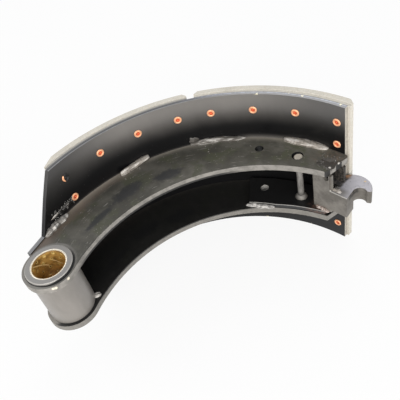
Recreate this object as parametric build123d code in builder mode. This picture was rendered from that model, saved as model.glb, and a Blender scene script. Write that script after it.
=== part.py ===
"""Brake shoe for a heavy drum brake, millimetres, +Z up.

The origin is the centre of the anchor bore at the middle of the shoe's width, +Z is the axis of the bore
and of the drum, and +X points from the anchor to the centre of the drum. Angles called "around" are
degrees about the drum's centre, counted from +Y towards -X, so the anchor lies at 90.
"""
import math
import os

from build123d import *

# overall layout
anchor_to_table = 23.0
shoe_width = 190.0
mid_around = 18.0

# table plate
table_inner_radius = 194.5
table_thickness = 4.5
table_cam_half_angle = 49.0
table_corner_around = 68.4
tongue_overhang = 1.3
tongue_flat_length = 36.5
oblique_end_around = 80.0

# friction linings
lining_thickness = 11.0
lining_half_angle = 49.7
lining_gap = 8.0
anchor_bevel_angle = 4.2
anchor_bevel_depth = 6.5
cam_bevel_angle = 1.7
cam_bevel_depth = 5.0
gap_bevel_angle = 1.2
gap_bevel_depth = 4.5
wear_groove_height = 3.6
wear_groove_size = 1.2

# rivets
rivet_gap_half_angle = 5.45
rivet_pitch = 13.6
rivets_each_way = 4
rivet_row_from_edge = 20.4
rivet_row_step = 28.1
rivet_shank_radius = 3.2
rivet_hole_clearance = 0.1
rivet_bore_radius = 2.3
rivet_bore_depth = 6.5
rivet_flare_radius = 4.4
rivet_flare_thickness = 1.1
rivet_head_radius = 5.6
rivet_head_thickness = 1.8
counterbore_radius = 6.5
lining_seat_thickness = 4.6

# webs
web_thickness = 7.5
web_spacing = 58.4
eye_radius = 28.0
web_inner_tilt = -6.3
web_cam_depth = 32.3
web_past_table = 5.6
web_end_lean = 11.0
web_tip_fillet = 4.0
web_length_past_end = 40.0

# holes in the webs, each by its depth from the table's inner face
small_hole_around = -3.0
small_hole_depth = 19.0
small_hole_radius = 4.75
spring_hole_around = -17.5
spring_hole_depth = 22.5
spring_hole_radius = 6.25

# spring pin
pin_shank_radius = 3.6
pin_end_clearance = 1.5
pin_end_depth = 0.6
pin_end_chamfer = 0.8
pin_shift_around = 0.35

# reinforcing plate on the lower web
plate_thickness = 5.6
plate_start_around = 3.3
plate_start_slant = 1.4
plate_bead_room = 5.3
plate_edge_setback = 0.4
plate_table_gap = 2.5
plate_corner_radius = 3.0
plate_end_setback = 3.0

# anchor sleeve and bushes
sleeve_radius = 24.5
sleeve_proud = 2.6
sleeve_chamfer = 0.8
sleeve_mouth_chamfer = 0.5
bush_outer_radius = 18.5
bush_wall = 2.0
bush_gap = 4.0
bush_chamfer = 0.8

# cam-end casting, in its own frame: "past" is the distance beyond the table's cam end along the tangent
# there, "out" is the distance from the drum's centre across that tangent, and a depth is counted inwards
# from the table's inner face at that end
cast_front_depth = 30.0
cast_depth = 22.5
cast_length = 20.5
cast_past_end = 2.5
cast_corner_radius = 1.5
pocket_floor = 8.5
pocket_wall = 4.0
pocket_length = 15.0
notch_width = 7.0
notch_depth = 8.2
notch_rim = 2.5
nose_length = 22.0
nose_bottom = -20.0
hook_bottom = -9.0
hook_centre_past = 17.1
hook_centre_depth = 13.9
hook_radius = 20.8
hook_start_angle = 125.0
hook_tip_angle = 16.0
hook_heel_past = 1.5
hook_heel_depth = 2.0
seat_past = 27.8
seat_depth = 15.3
seat_radius = 7.3
seat_lip_angle = 48.0
hook_edge_fillet = 1.0
hook_lip_fillet = 1.5

# weld beads
bead_fullness = 0.56
web_weld_leg = 7.0
web_weld_spans = ((69.5, 10.0), (36.9, 10.4), (3.0, 18.3), (-22.8, 12.2))
plate_weld_leg = 4.5
plate_weld_start = 1.4
plate_weld_span = 9.0
cast_weld_leg = 3.2
cast_weld_start = 17.0
cast_weld_length = 17.5
sleeve_tack_leg = 3.4
sleeve_tack_span = 22.0
upper_tack_direction = -62.0
lower_tack_direction = 32.0
pin_weld_leg = 3.4

# worked out from the sizes above
half_width = shoe_width / 2
anchor_to_drum = table_inner_radius - anchor_to_table
rivet_row_height = half_width - rivet_row_from_edge
table_outer_radius = table_inner_radius + table_thickness
lining_outer_radius = table_outer_radius + lining_thickness
table_cam_around = mid_around - table_cam_half_angle
web_inner_face = web_spacing / 2
web_outer_face = web_inner_face + web_thickness
sleeve_half_length = web_outer_face + sleeve_proud
tongue_half_width = web_outer_face + tongue_overhang
plate_top = plate_thickness - web_inner_face
pin_end_radius = spring_hole_radius - pin_end_clearance
cast_front_out = table_inner_radius - cast_front_depth
cast_back_out = cast_front_out + cast_depth
hook_centre_out = table_inner_radius - hook_centre_depth
hook_heel_out = table_inner_radius - hook_heel_depth
seat_out = table_inner_radius - seat_depth
drum_axis = Axis((anchor_to_drum, 0, 0), (0, 0, 1))
# the straight run that touches both the eye and the table's inner face leaves the arc here
tangent_around = math.degrees(math.asin((table_inner_radius - eye_radius) / anchor_to_drum))


def polar(radius, around):
    """Point at a radius from the drum's centre, at an angle around it."""
    turn = math.radians(around)
    return (anchor_to_drum - radius * math.sin(turn), radius * math.cos(turn))


def arc(radius, start, end):
    """Arc about the drum's centre from one angle around it to another."""
    return CenterArc((anchor_to_drum, 0), radius, start + 90, end - start)


def tangent_plane(around, radius, height=0):
    """Plane square to the radius at a place on the shoe: its X runs round the shoe, its Y along the drum."""
    turn = math.radians(around)
    x, y = polar(radius, around)
    return Plane(origin=(x, y, height), x_dir=(-math.cos(turn), -math.sin(turn), 0),
                 z_dir=(-math.sin(turn), math.cos(turn), 0))


def radial_plane(around):
    """Plane through the drum's axis: its X is the distance from the axis, its Y is the height."""
    turn = math.radians(around)
    return Plane(origin=(anchor_to_drum, 0, 0), x_dir=(-math.sin(turn), math.cos(turn), 0),
                 z_dir=(math.cos(turn), math.sin(turn), 0))


# plane of the cam end at mid-width: X is "past" the table's end, Y is "out" from the drum's centre
cam_turn = math.radians(table_cam_around)
cam_plane = Plane(origin=(anchor_to_drum, 0, 0), x_dir=(math.cos(cam_turn), math.sin(cam_turn), 0),
                  z_dir=(0, 0, 1))


def rivet_places():
    """Every rivet as (name, angle around, height): two outer rows, and an inner pair at each end column."""
    places = []
    for side, name in ((1, "anchor"), (-1, "cam")):
        for step in range(rivets_each_way):
            around = mid_around + side * (rivet_gap_half_angle + step * rivet_pitch)
            heights = [rivet_row_height, -rivet_row_height]
            if step == rivets_each_way - 1:
                heights += [rivet_row_height - rivet_row_step, rivet_row_step - rivet_row_height]
            for row, height in enumerate(heights, 1):
                places.append((f"rivet_{name}_{step + 1}_{row}", around, height))
    return places


os.makedirs("parts", exist_ok=True)

# table: the rolled plate runs on flat past the point where it leaves the arc, as a narrow tongue
flat_x, flat_y = polar(table_inner_radius, tangent_around)
flat_turn = math.radians(tangent_around)
flat_end = (flat_x - tongue_flat_length * math.cos(flat_turn),
            flat_y - tongue_flat_length * math.sin(flat_turn))
cut_around = (table_corner_around + oblique_end_around) / 2
cut_plane = tangent_plane(cut_around, table_inner_radius)
cut_half = table_outer_radius * math.sin(math.radians(oblique_end_around - cut_around))
with BuildPart() as table:
    with BuildSketch(Plane.XY):
        with BuildLine():
            inner = arc(table_inner_radius, table_cam_around, tangent_around)
            run = Line(inner @ 1, flat_end)
            outer = arc(table_outer_radius, table_cam_around, tangent_around)
            outer_run = Line(outer @ 1, outer @ 1 + (run @ 1 - run @ 0))
            Line(run @ 1, outer_run @ 1)
            Line(inner @ 0, outer @ 0)
        make_face()
    extrude(amount=half_width, both=True)
    # each anchor-side corner is cut away obliquely down to the tongue's width
    with BuildSketch(cut_plane):
        Polygon((-cut_half, half_width), (cut_half, tongue_half_width), (half_width, tongue_half_width),
                (half_width, shoe_width), (-cut_half, shoe_width), align=None)
        mirror(about=Plane.XZ)
    extrude(amount=half_width, both=True, mode=Mode.SUBTRACT)
    for _, around, height in rivet_places():
        with Locations(tangent_plane(around, table_outer_radius, height)):
            Hole(rivet_shank_radius + rivet_hole_clearance, depth=2 * table_thickness)
table.part.label = "table"
export_step(table.part, "parts/table.step")

# linings: one arc of friction material each side of the gap
gap_half_angle = math.degrees(lining_gap / 2 / table_outer_radius)
lining_sides = (
    ("anchor", mid_around + gap_half_angle, mid_around + lining_half_angle, gap_bevel_angle, gap_bevel_depth,
     anchor_bevel_angle, anchor_bevel_depth),
    ("cam", mid_around - lining_half_angle, mid_around - gap_half_angle, cam_bevel_angle, cam_bevel_depth,
     gap_bevel_angle, gap_bevel_depth),
)
for side, start, end, start_angle, start_depth, end_angle, end_depth in lining_sides:
    with BuildPart() as lining:
        with BuildSketch(Plane.XY):
            with BuildLine():
                low = arc(table_outer_radius, start, end)
                high = arc(lining_outer_radius, start, end)
                Line(low @ 0, high @ 0)
                Line(low @ 1, high @ 1)
            make_face()
            # both ends are bevelled towards the friction face
            beyond = lining_outer_radius + lining_thickness
            for tip, bevel_to, depth in ((start, start + start_angle, start_depth),
                                         (end, end - end_angle, end_depth)):
                Polygon(polar(lining_outer_radius - depth, tip), polar(beyond, tip), polar(beyond, bevel_to),
                        polar(lining_outer_radius, bevel_to), align=None, mode=Mode.SUBTRACT)
        extrude(amount=half_width, both=True)
        # a groove along each long side marks how far the lining may wear
        with BuildSketch(radial_plane(start)):
            groove_at = table_outer_radius + wear_groove_height
            for edge in (1, -1):
                Polygon((groove_at - wear_groove_size, edge * half_width),
                        (groove_at, edge * (half_width - wear_groove_size)),
                        (groove_at + wear_groove_size, edge * half_width), align=None)
        revolve(axis=drum_axis, revolution_arc=end - start, mode=Mode.SUBTRACT)
        for name, around, height in rivet_places():
            if f"_{side}_" in name:
                with Locations(tangent_plane(around, lining_outer_radius, height)):
                    CounterBoreHole(rivet_shank_radius + rivet_hole_clearance, counterbore_radius,
                                    lining_thickness - lining_seat_thickness, depth=2 * lining_thickness)
    lining.part.label = f"{side}_side_lining"
    export_step(lining.part, f"parts/{side}_side_lining.step")

# rivets: tubular, with the head down in the lining and the end flared over the table's inner face
flare_seat = math.sqrt(table_inner_radius ** 2 - rivet_flare_radius ** 2)
head_seat = table_outer_radius + lining_seat_thickness
for name, around, height in rivet_places():
    with BuildPart() as rivet:
        with BuildSketch(radial_plane(around)):
            with BuildLine():
                Polyline((flare_seat - rivet_flare_thickness + rivet_bore_depth, height),
                         (flare_seat - rivet_flare_thickness + rivet_bore_depth, height + rivet_bore_radius),
                         (flare_seat - rivet_flare_thickness, height + rivet_bore_radius),
                         (flare_seat - rivet_flare_thickness, height + rivet_shank_radius),
                         (flare_seat, height + rivet_flare_radius),
                         (flare_seat, height + rivet_shank_radius),
                         (head_seat, height + rivet_shank_radius),
                         (head_seat, height + rivet_head_radius),
                         (head_seat + rivet_head_thickness, height + rivet_head_radius),
                         (head_seat + rivet_head_thickness, height), close=True)
            make_face()
        x, y = polar(head_seat, around)
        turn = math.radians(around)
        revolve(axis=Axis((x, y, height), (-math.sin(turn), math.cos(turn), 0)))
    rivet.part.label = name
    export_step(rivet.part, f"parts/{name}.step")

# webs: a crescent whose outer edge follows the table and whose inner edge is one arc that runs into the
# eye without a corner and reaches the table's cam end at a given depth
joint_turn = math.radians(web_inner_tilt)
cam_foot_x, cam_foot_y = polar(table_inner_radius - web_cam_depth, table_cam_around)
foot_reach = cam_foot_x * math.cos(joint_turn) + cam_foot_y * math.sin(joint_turn)
web_inner_radius = ((cam_foot_x ** 2 + cam_foot_y ** 2 - 2 * eye_radius * foot_reach + eye_radius ** 2)
                    / (2 * (foot_reach - eye_radius)))
inner_centre_x = (eye_radius + web_inner_radius) * math.cos(joint_turn)
inner_centre_y = (eye_radius + web_inner_radius) * math.sin(joint_turn)
web_far_around = table_cam_around - math.degrees(web_length_past_end / table_inner_radius)


def inner_arc_from_drum(around, setback=0.0):
    """Distance from the drum's centre to the web's inner arc at an angle around it, set back outwards."""
    turn = math.radians(around)
    away_x, away_y = anchor_to_drum - inner_centre_x, -inner_centre_y
    along = away_y * math.cos(turn) - away_x * math.sin(turn)
    rest = away_x ** 2 + away_y ** 2 - (web_inner_radius + setback) ** 2
    return math.sqrt(along ** 2 - rest) - along


def inner_arc_point(around, setback=0.0):
    """Point where the radius at an angle around the drum crosses the web's inner arc, set back outwards."""
    return polar(inner_arc_from_drum(around, setback), around)


outer_turn = math.radians(tangent_around)
inner_joint = (eye_radius * math.cos(joint_turn), eye_radius * math.sin(joint_turn))
eye_leave = (-eye_radius * math.sin(outer_turn), eye_radius * math.cos(outer_turn))
lean = math.tan(math.radians(web_end_lean))
end_reach = 5 * web_tip_fillet


def web_end_cut(past, reach):
    """Corners of the area beyond a web's leaning cam end, for a tip that far past the table's end."""
    low, high = table_inner_radius / 2, table_inner_radius + reach
    corners = ((past - lean * (table_inner_radius - low), low), (table_inner_radius, low),
               (table_inner_radius, high), (past + lean * reach, high))
    return [(point.X, point.Y) for point in (cam_plane.from_local_coords((x, y, 0)) for x, y in corners)]


tip = cam_plane.from_local_coords((web_past_table, table_inner_radius, 0))
for name, bottom in (("upper_web", web_inner_face), ("lower_web", -web_outer_face)):
    with BuildPart() as web:
        with BuildSketch(Plane.XY.offset(bottom)) as web_profile:
            with BuildLine():
                outer = arc(table_inner_radius, web_far_around, tangent_around)
                Line(outer @ 1, eye_leave)
                CenterArc((0, 0), eye_radius, tangent_around + 90, 270 + web_inner_tilt - tangent_around)
                inner = ThreePointArc(inner_joint, inner_arc_point((90 + web_far_around) / 2),
                                      inner_arc_point(web_far_around))
                Line(inner @ 1, outer @ 0)
            make_face()
            Polygon(*web_end_cut(web_past_table, end_reach), align=None, mode=Mode.SUBTRACT)
            fillet(web_profile.vertices().sort_by_distance(tip)[0], web_tip_fillet)
            Circle(sleeve_radius, mode=Mode.SUBTRACT)
            with Locations(polar(table_inner_radius - small_hole_depth, small_hole_around)):
                Circle(small_hole_radius, mode=Mode.SUBTRACT)
            with Locations(polar(table_inner_radius - spring_hole_depth, spring_hole_around)):
                Circle(spring_hole_radius, mode=Mode.SUBTRACT)
        extrude(amount=web_thickness)
    web.part.label = name
    export_step(web.part, f"parts/{name}.step")

# reinforcing plate: it lies on the lower web's inner face and stops short of the table
plate_foot_around = plate_start_around - plate_start_slant
plate_middle_around = (plate_foot_around + web_far_around) / 2
plate_start_from_drum = inner_arc_from_drum(plate_foot_around) + plate_bead_room
with BuildPart() as plate:
    with BuildSketch(Plane.XY.offset(-web_inner_face)) as plate_profile:
        with BuildLine():
            outer = arc(table_inner_radius - plate_table_gap, web_far_around, plate_start_around)
            inner = ThreePointArc(inner_arc_point(plate_foot_around, plate_edge_setback),
                                  inner_arc_point(plate_middle_around, plate_edge_setback),
                                  inner_arc_point(web_far_around, plate_edge_setback))
            Line(outer @ 1, inner @ 0)
            Line(inner @ 1, outer @ 0)
        make_face()
        # near its start the inner edge keeps its distance from the drum's centre and leaves room for a bead
        with Locations((anchor_to_drum, 0)):
            Circle(plate_start_from_drum, mode=Mode.SUBTRACT)
        fillet(plate_profile.vertices().sort_by_distance(outer @ 1)[0], plate_corner_radius)
        Polygon(*web_end_cut(web_past_table - plate_end_setback, end_reach), align=None, mode=Mode.SUBTRACT)
        with Locations(polar(table_inner_radius - small_hole_depth, small_hole_around)):
            Circle(small_hole_radius, mode=Mode.SUBTRACT)
    extrude(amount=plate_thickness)
plate.part.label = "lower_reinforcing_plate"
export_step(plate.part, "parts/lower_reinforcing_plate.step")

# anchor sleeve and its two bronze bushes, with a grease gap between them
with BuildPart() as sleeve:
    Cylinder(sleeve_radius, 2 * sleeve_half_length)
    Cylinder(bush_outer_radius, 2 * sleeve_half_length, mode=Mode.SUBTRACT)
    rims = sleeve.edges().filter_by(GeomType.CIRCLE)
    inner_rims = rims.filter_by(lambda rim: rim.radius < sleeve_radius)
    chamfer(inner_rims, sleeve_mouth_chamfer)
    chamfer(rims - inner_rims, sleeve_chamfer)
sleeve.part.label = "anchor_sleeve"
export_step(sleeve.part, "parts/anchor_sleeve.step")

bush_length = sleeve_half_length - sleeve_mouth_chamfer - bush_gap / 2
for name, side in (("upper_bush", 1), ("lower_bush", -1)):
    with BuildPart() as bush:
        with Locations((0, 0, side * (bush_gap + bush_length) / 2)):
            Cylinder(bush_outer_radius, bush_length)
            Cylinder(bush_outer_radius - bush_wall, bush_length, mode=Mode.SUBTRACT)
        bores = bush.edges().filter_by(GeomType.CIRCLE).filter_by(lambda rim: rim.radius < bush_outer_radius)
        chamfer(bores, bush_chamfer)
    bush.part.label = name
    export_step(bush.part, f"parts/{name}.step")

# spring pin: it stands on the reinforcing plate and its thick end sits loose in the upper web's hole
pin_x, pin_y = polar(table_inner_radius - spring_hole_depth, spring_hole_around - pin_shift_around)
with BuildPart() as pin:
    with BuildSketch(Plane.XY.offset(plate_top)):
        with Locations((pin_x, pin_y)):
            Circle(pin_shank_radius)
    extrude(amount=web_outer_face - pin_end_depth - plate_top)
    with BuildSketch(Plane.XY.offset(web_inner_face)):
        with Locations((pin_x, pin_y)):
            Circle(pin_end_radius)
    extrude(amount=web_thickness - pin_end_depth)
    chamfer(pin.edges().sort_by(Axis.Z)[-1], pin_end_chamfer)
pin.part.label = "spring_pin"
export_step(pin.part, "parts/spring_pin.step")

# cam-end casting: a block between the reinforcing plate and the upper web, a pocket open at the end and
# towards the upper web, and a nose that carries the hook
with BuildPart() as casting:
    with BuildSketch(cam_plane.offset(plate_top)) as block:
        Polygon((-cast_length, cast_front_out), (cast_past_end, cast_front_out),
                (cast_past_end + lean * cast_depth, cast_back_out), (-cast_length, cast_back_out), align=None)
        fillet(block.vertices(), cast_corner_radius)
    extrude(amount=web_inner_face - plate_top)
    with BuildSketch(cam_plane.offset(nose_bottom)):
        Polygon((-cast_length / 2, cast_front_out), (nose_length, cast_front_out),
                (seat_past - seat_radius, seat_out), (cast_past_end + lean * cast_depth, cast_back_out),
                (-cast_length / 2, cast_back_out), align=None)
    extrude(amount=pocket_floor - nose_bottom)
    with BuildSketch(cam_plane.offset(hook_bottom)) as hook:
        with BuildLine():
            back = CenterArc((hook_centre_past, hook_centre_out), hook_radius, hook_tip_angle,
                             hook_start_angle - hook_tip_angle)
            seat = CenterArc((seat_past, seat_out), seat_radius, seat_lip_angle, 180 - seat_lip_angle)
            Polyline(back @ 1, (hook_heel_past, hook_heel_out), (-cast_length / 2, cast_back_out - 1),
                     (-cast_length / 2, cast_front_out), (nose_length, cast_front_out), seat @ 1)
            Line(seat @ 0, back @ 0)
        make_face()
        fillet(hook.vertices().sort_by_distance(back @ 0)[:2], hook_lip_fillet)
    extrude(amount=pocket_floor - hook_bottom)
    with BuildSketch(cam_plane.offset(pocket_floor)) as pocket:
        Polygon((-pocket_length, cast_front_out + pocket_wall), (nose_length, cast_front_out + pocket_wall),
                (nose_length, cast_back_out - pocket_wall), (-pocket_length, cast_back_out - pocket_wall),
                align=None)
        fillet(pocket.vertices().group_by(Axis.X)[0], cast_corner_radius)
    extrude(amount=web_inner_face - pocket_floor, mode=Mode.SUBTRACT)
    # the notch in the pocket's inner wall opens towards the upper web
    notch_middle = cast_past_end - notch_rim - notch_width / 2
    notch_plane = Plane(origin=cam_plane.from_local_coords((notch_middle, cast_front_out, 0)),
                        x_dir=cam_plane.x_dir, z_dir=-cam_plane.y_dir)
    with BuildSketch(notch_plane):
        with Locations((0, web_inner_face)):
            SlotOverall(2 * notch_depth, notch_width, rotation=90)
    extrude(amount=pocket_wall, both=True, mode=Mode.SUBTRACT)
    hook_rims = casting.edges().filter_by(GeomType.CIRCLE).filter_by(lambda rim: rim.radius == hook_radius)
    fillet(hook_rims, hook_edge_fillet)
casting.part.label = "cam_end_casting"
export_step(casting.part, "parts/cam_end_casting.step")


def bead(corner, across, up):
    """Corner, first foot, middle of the bulged face and second foot of a fillet weld's section."""
    x, y = corner
    return (x, y), (x + across, y), (x + bead_fullness * across, y + bead_fullness * up), (x, y + up)


# fillet welds between each web's outer face and the table, mirrored on the lower web
for web_side, side in (("upper", 1), ("lower", -1)):
    for number, (start, length) in enumerate(web_weld_spans, 1):
        arc_end = min(start + length, tangent_around)
        straight = math.radians(start + length - arc_end) * table_inner_radius
        with BuildPart() as web_weld:
            with BuildSketch(radial_plane(start)):
                with BuildLine():
                    corner, foot, middle, top = bead((table_inner_radius, side * web_outer_face),
                                                     -web_weld_leg, side * web_weld_leg)
                    Line(corner, foot)
                    ThreePointArc(foot, middle, top)
                    Line(top, corner)
                make_face()
            revolve(axis=drum_axis, revolution_arc=arc_end - start)
            if straight > 0:
                extrude(web_weld.faces().filter_by(radial_plane(arc_end))[0], amount=straight)
        web_weld.part.label = f"{web_side}_web_weld_{number}"
        export_step(web_weld.part, f"parts/{web_side}_web_weld_{number}.step")

# bead along the reinforcing plate's inner edge, cut back where the web under it ends
with BuildPart() as plate_weld:
    with BuildSketch(radial_plane(plate_weld_start - plate_weld_span)):
        with BuildLine():
            corner, foot, middle, top = bead((plate_start_from_drum, -web_inner_face), -plate_weld_leg,
                                             plate_weld_leg)
            Line(corner, foot)
            ThreePointArc(foot, middle, top)
            Line(top, corner)
        make_face()
    revolve(axis=drum_axis, revolution_arc=plate_weld_span)
    with BuildSketch(Plane.XY.offset(-web_inner_face)):
        with Locations((inner_centre_x, inner_centre_y)):
            Circle(web_inner_radius)
    extrude(amount=plate_thickness, mode=Mode.SUBTRACT)
plate_weld.part.label = "plate_weld"
export_step(plate_weld.part, "parts/plate_weld.step")

# bead along the foot of the casting's front face
with BuildPart() as cast_weld:
    weld_origin = cam_plane.from_local_coords((-cast_weld_start, 0, 0))
    with BuildSketch(Plane(origin=weld_origin, x_dir=cam_plane.y_dir, z_dir=cam_plane.x_dir)):
        with BuildLine():
            corner, foot, middle, top = bead((cast_front_out, plate_top), -cast_weld_leg, cast_weld_leg)
            Line(corner, foot)
            ThreePointArc(foot, middle, top)
            Line(top, corner)
        make_face()
    extrude(amount=cast_weld_length)
cast_weld.part.label = "casting_weld"
export_step(cast_weld.part, "parts/casting_weld.step")

# one tack on the sleeve at each web's inner face
for name, face, direction in (("upper_sleeve_tack", web_inner_face, upper_tack_direction),
                              ("lower_sleeve_tack", -web_inner_face, lower_tack_direction)):
    start = math.radians(direction - sleeve_tack_span / 2)
    with BuildPart() as tack:
        with BuildSketch(Plane(origin=(0, 0, 0), x_dir=(math.cos(start), math.sin(start), 0),
                               z_dir=(math.sin(start), -math.cos(start), 0))):
            with BuildLine():
                corner, foot, middle, top = bead((sleeve_radius, face), sleeve_tack_leg,
                                                 -math.copysign(sleeve_tack_leg, face))
                Line(corner, foot)
                ThreePointArc(foot, middle, top)
                Line(top, corner)
            make_face()
        revolve(axis=Axis.Z, revolution_arc=sleeve_tack_span)
    tack.part.label = name
    export_step(tack.part, f"parts/{name}.step")

# bead round the foot of the spring pin
with BuildPart() as pin_weld:
    with BuildSketch(Plane.XZ.offset(-pin_y)):
        with BuildLine():
            corner, foot, middle, top = bead((pin_x + pin_shank_radius, plate_top), pin_weld_leg,
                                             pin_weld_leg)
            Line(corner, foot)
            ThreePointArc(foot, middle, top)
            Line(top, corner)
        make_face()
    revolve(axis=Axis((pin_x, pin_y, 0), (0, 0, 1)))
pin_weld.part.label = "pin_weld"
export_step(pin_weld.part, "parts/pin_weld.step")
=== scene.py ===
"""Looks for a riveted drum-brake shoe: paint, lining, copper, bronze, cast steel and hand-laid welds.

Everything is in metres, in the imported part's own frame: the origin is the centre of the anchor bore, +Z is
the axis of the bore and the drum, and +X points from the anchor to the centre of the drum. An angle
"around" is in degrees about the drum's centre, counted from +Y towards -X, so the anchor lies at 90.
"""
import logging
import math
from dataclasses import dataclass
from enum import Enum

import bpy
import numpy as np
from mathutils import Matrix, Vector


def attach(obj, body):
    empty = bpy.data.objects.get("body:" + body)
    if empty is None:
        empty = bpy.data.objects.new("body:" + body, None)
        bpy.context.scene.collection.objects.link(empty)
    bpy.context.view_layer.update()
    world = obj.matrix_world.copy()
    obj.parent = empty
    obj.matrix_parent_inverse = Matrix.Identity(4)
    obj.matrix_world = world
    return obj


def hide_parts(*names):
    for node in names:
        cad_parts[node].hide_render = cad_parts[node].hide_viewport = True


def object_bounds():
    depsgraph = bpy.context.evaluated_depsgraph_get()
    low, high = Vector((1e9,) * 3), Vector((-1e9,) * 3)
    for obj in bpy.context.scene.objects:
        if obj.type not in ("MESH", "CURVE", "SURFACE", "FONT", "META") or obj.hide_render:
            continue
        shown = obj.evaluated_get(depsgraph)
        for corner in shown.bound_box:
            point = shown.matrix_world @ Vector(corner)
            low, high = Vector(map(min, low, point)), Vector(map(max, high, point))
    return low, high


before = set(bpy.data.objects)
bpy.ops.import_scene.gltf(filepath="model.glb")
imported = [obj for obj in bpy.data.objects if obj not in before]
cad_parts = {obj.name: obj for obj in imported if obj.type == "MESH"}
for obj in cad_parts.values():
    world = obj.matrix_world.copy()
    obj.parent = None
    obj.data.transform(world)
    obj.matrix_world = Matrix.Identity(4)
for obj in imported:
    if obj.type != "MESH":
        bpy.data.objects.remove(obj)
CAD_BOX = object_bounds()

LOG = logging.getLogger("brake_shoe")

MM = 0.001
BODY = "root"
ANCHOR_TO_DRUM = 171.5 * MM
TABLE_INNER = 194.5 * MM
TABLE_OUTER = 199.0 * MM
HALF_WIDTH = 95.0 * MM
WEB_INNER_FACE = 29.2 * MM
WEB_OUTER_FACE = 36.7 * MM
PLATE_TOP = -23.6 * MM
POCKET_FLOOR = 8.5 * MM
WEB_HOLES = ((0.18068, 0.17526, 5.1 * MM), (0.22322, 0.16404, 6.6 * MM))
SAME_POINT = 0.002 * MM
CAM_AROUND = -31.0
CAM_COS = math.cos(math.radians(CAM_AROUND))
CAM_SIN = -math.sin(math.radians(CAM_AROUND))
DRUM_CENTRE = np.array([ANCHOR_TO_DRUM, 0.0, 0.0])
UP = np.array([0.0, 0.0, 1.0])


def directions(around: np.ndarray | float) -> tuple[np.ndarray, np.ndarray]:
    """Unit directions at angles around the drum: out is minus the sine and the cosine, and on, the way in
    which the angle grows, is minus the cosine and minus the sine.

    Args:
        around: one angle or more, in degrees.

    Returns:
        The directions out and on, with the angles' own shape and three numbers for each.
    """
    turn = np.radians(around)
    flat = np.zeros_like(turn)
    out = np.stack([-np.sin(turn), np.cos(turn), flat], axis=-1)
    return out, np.stack([-np.cos(turn), -np.sin(turn), flat], axis=-1)


def grid_faces(rows: int, columns: int, close_rows: bool, close_columns: bool) -> np.ndarray:
    """Quads of a grid of points: each joins a point to its next along the row and in the next row.

    Args:
        rows: number of rows of points.
        columns: points in each row.
        close_rows: whether the last row joins the first.
        close_columns: whether each row's last point joins its first.

    Returns:
        An array of point numbers, four to a face.
    """
    row = np.arange(rows if close_rows else rows - 1)[:, None]
    column = np.arange(columns if close_columns else columns - 1)[None, :]
    here = row * columns + column
    beside = row * columns + (column + 1) % columns
    below = ((row + 1) % rows) * columns + column
    across = ((row + 1) % rows) * columns + (column + 1) % columns
    return np.stack([here, beside, across, below], axis=-1).reshape(-1, 4)


def make_piece(name: str, points: np.ndarray, faces: list, material: bpy.types.Material) -> bpy.types.Object:
    """Turns points and faces into a smooth piece that rides on the shoe.

    Args:
        name: the piece's name.
        points: places of its corners in the part's frame, in metres.
        faces: lists or rows of point numbers.
        material: its finish.

    Returns:
        The new object.
    """
    mesh = bpy.data.meshes.new(name)
    mesh.from_pydata(points.reshape(-1, 3).tolist(), [], [list(face) for face in faces])
    mesh.validate()
    mesh.polygons.foreach_set("use_smooth", np.ones(len(mesh.polygons), dtype=bool))
    mesh.materials.append(material)
    mesh.update()
    piece = bpy.data.objects.new(name, mesh)
    bpy.context.scene.collection.objects.link(piece)
    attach(piece, BODY)
    return piece


def write_map(piece: bpy.types.Object, name: str, first: np.ndarray, second: np.ndarray) -> None:
    """Writes two numbers a point into the piece's own map, which its material reads.

    Args:
        piece: the piece, before its doubled points are merged.
        name: the map's name.
        first: one number for each point.
        second: another for each point.
    """
    layer = piece.data.uv_layers.new(name=name)
    corners = np.zeros(len(piece.data.loops), dtype=np.int32)
    piece.data.loops.foreach_get("vertex_index", corners)
    layer.data.foreach_set("uv", np.stack([first.ravel()[corners], second.ravel()[corners]], axis=1).ravel())


def face_outwards(piece: bpy.types.Object) -> None:
    """Merges a closed piece's doubled points and turns its faces outwards."""
    import bmesh

    shape = bmesh.new()
    shape.from_mesh(piece.data)
    bmesh.ops.remove_doubles(shape, verts=shape.verts, dist=SAME_POINT)
    bmesh.ops.recalc_face_normals(shape, faces=shape.faces)
    shape.to_mesh(piece.data)
    shape.free()


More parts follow.
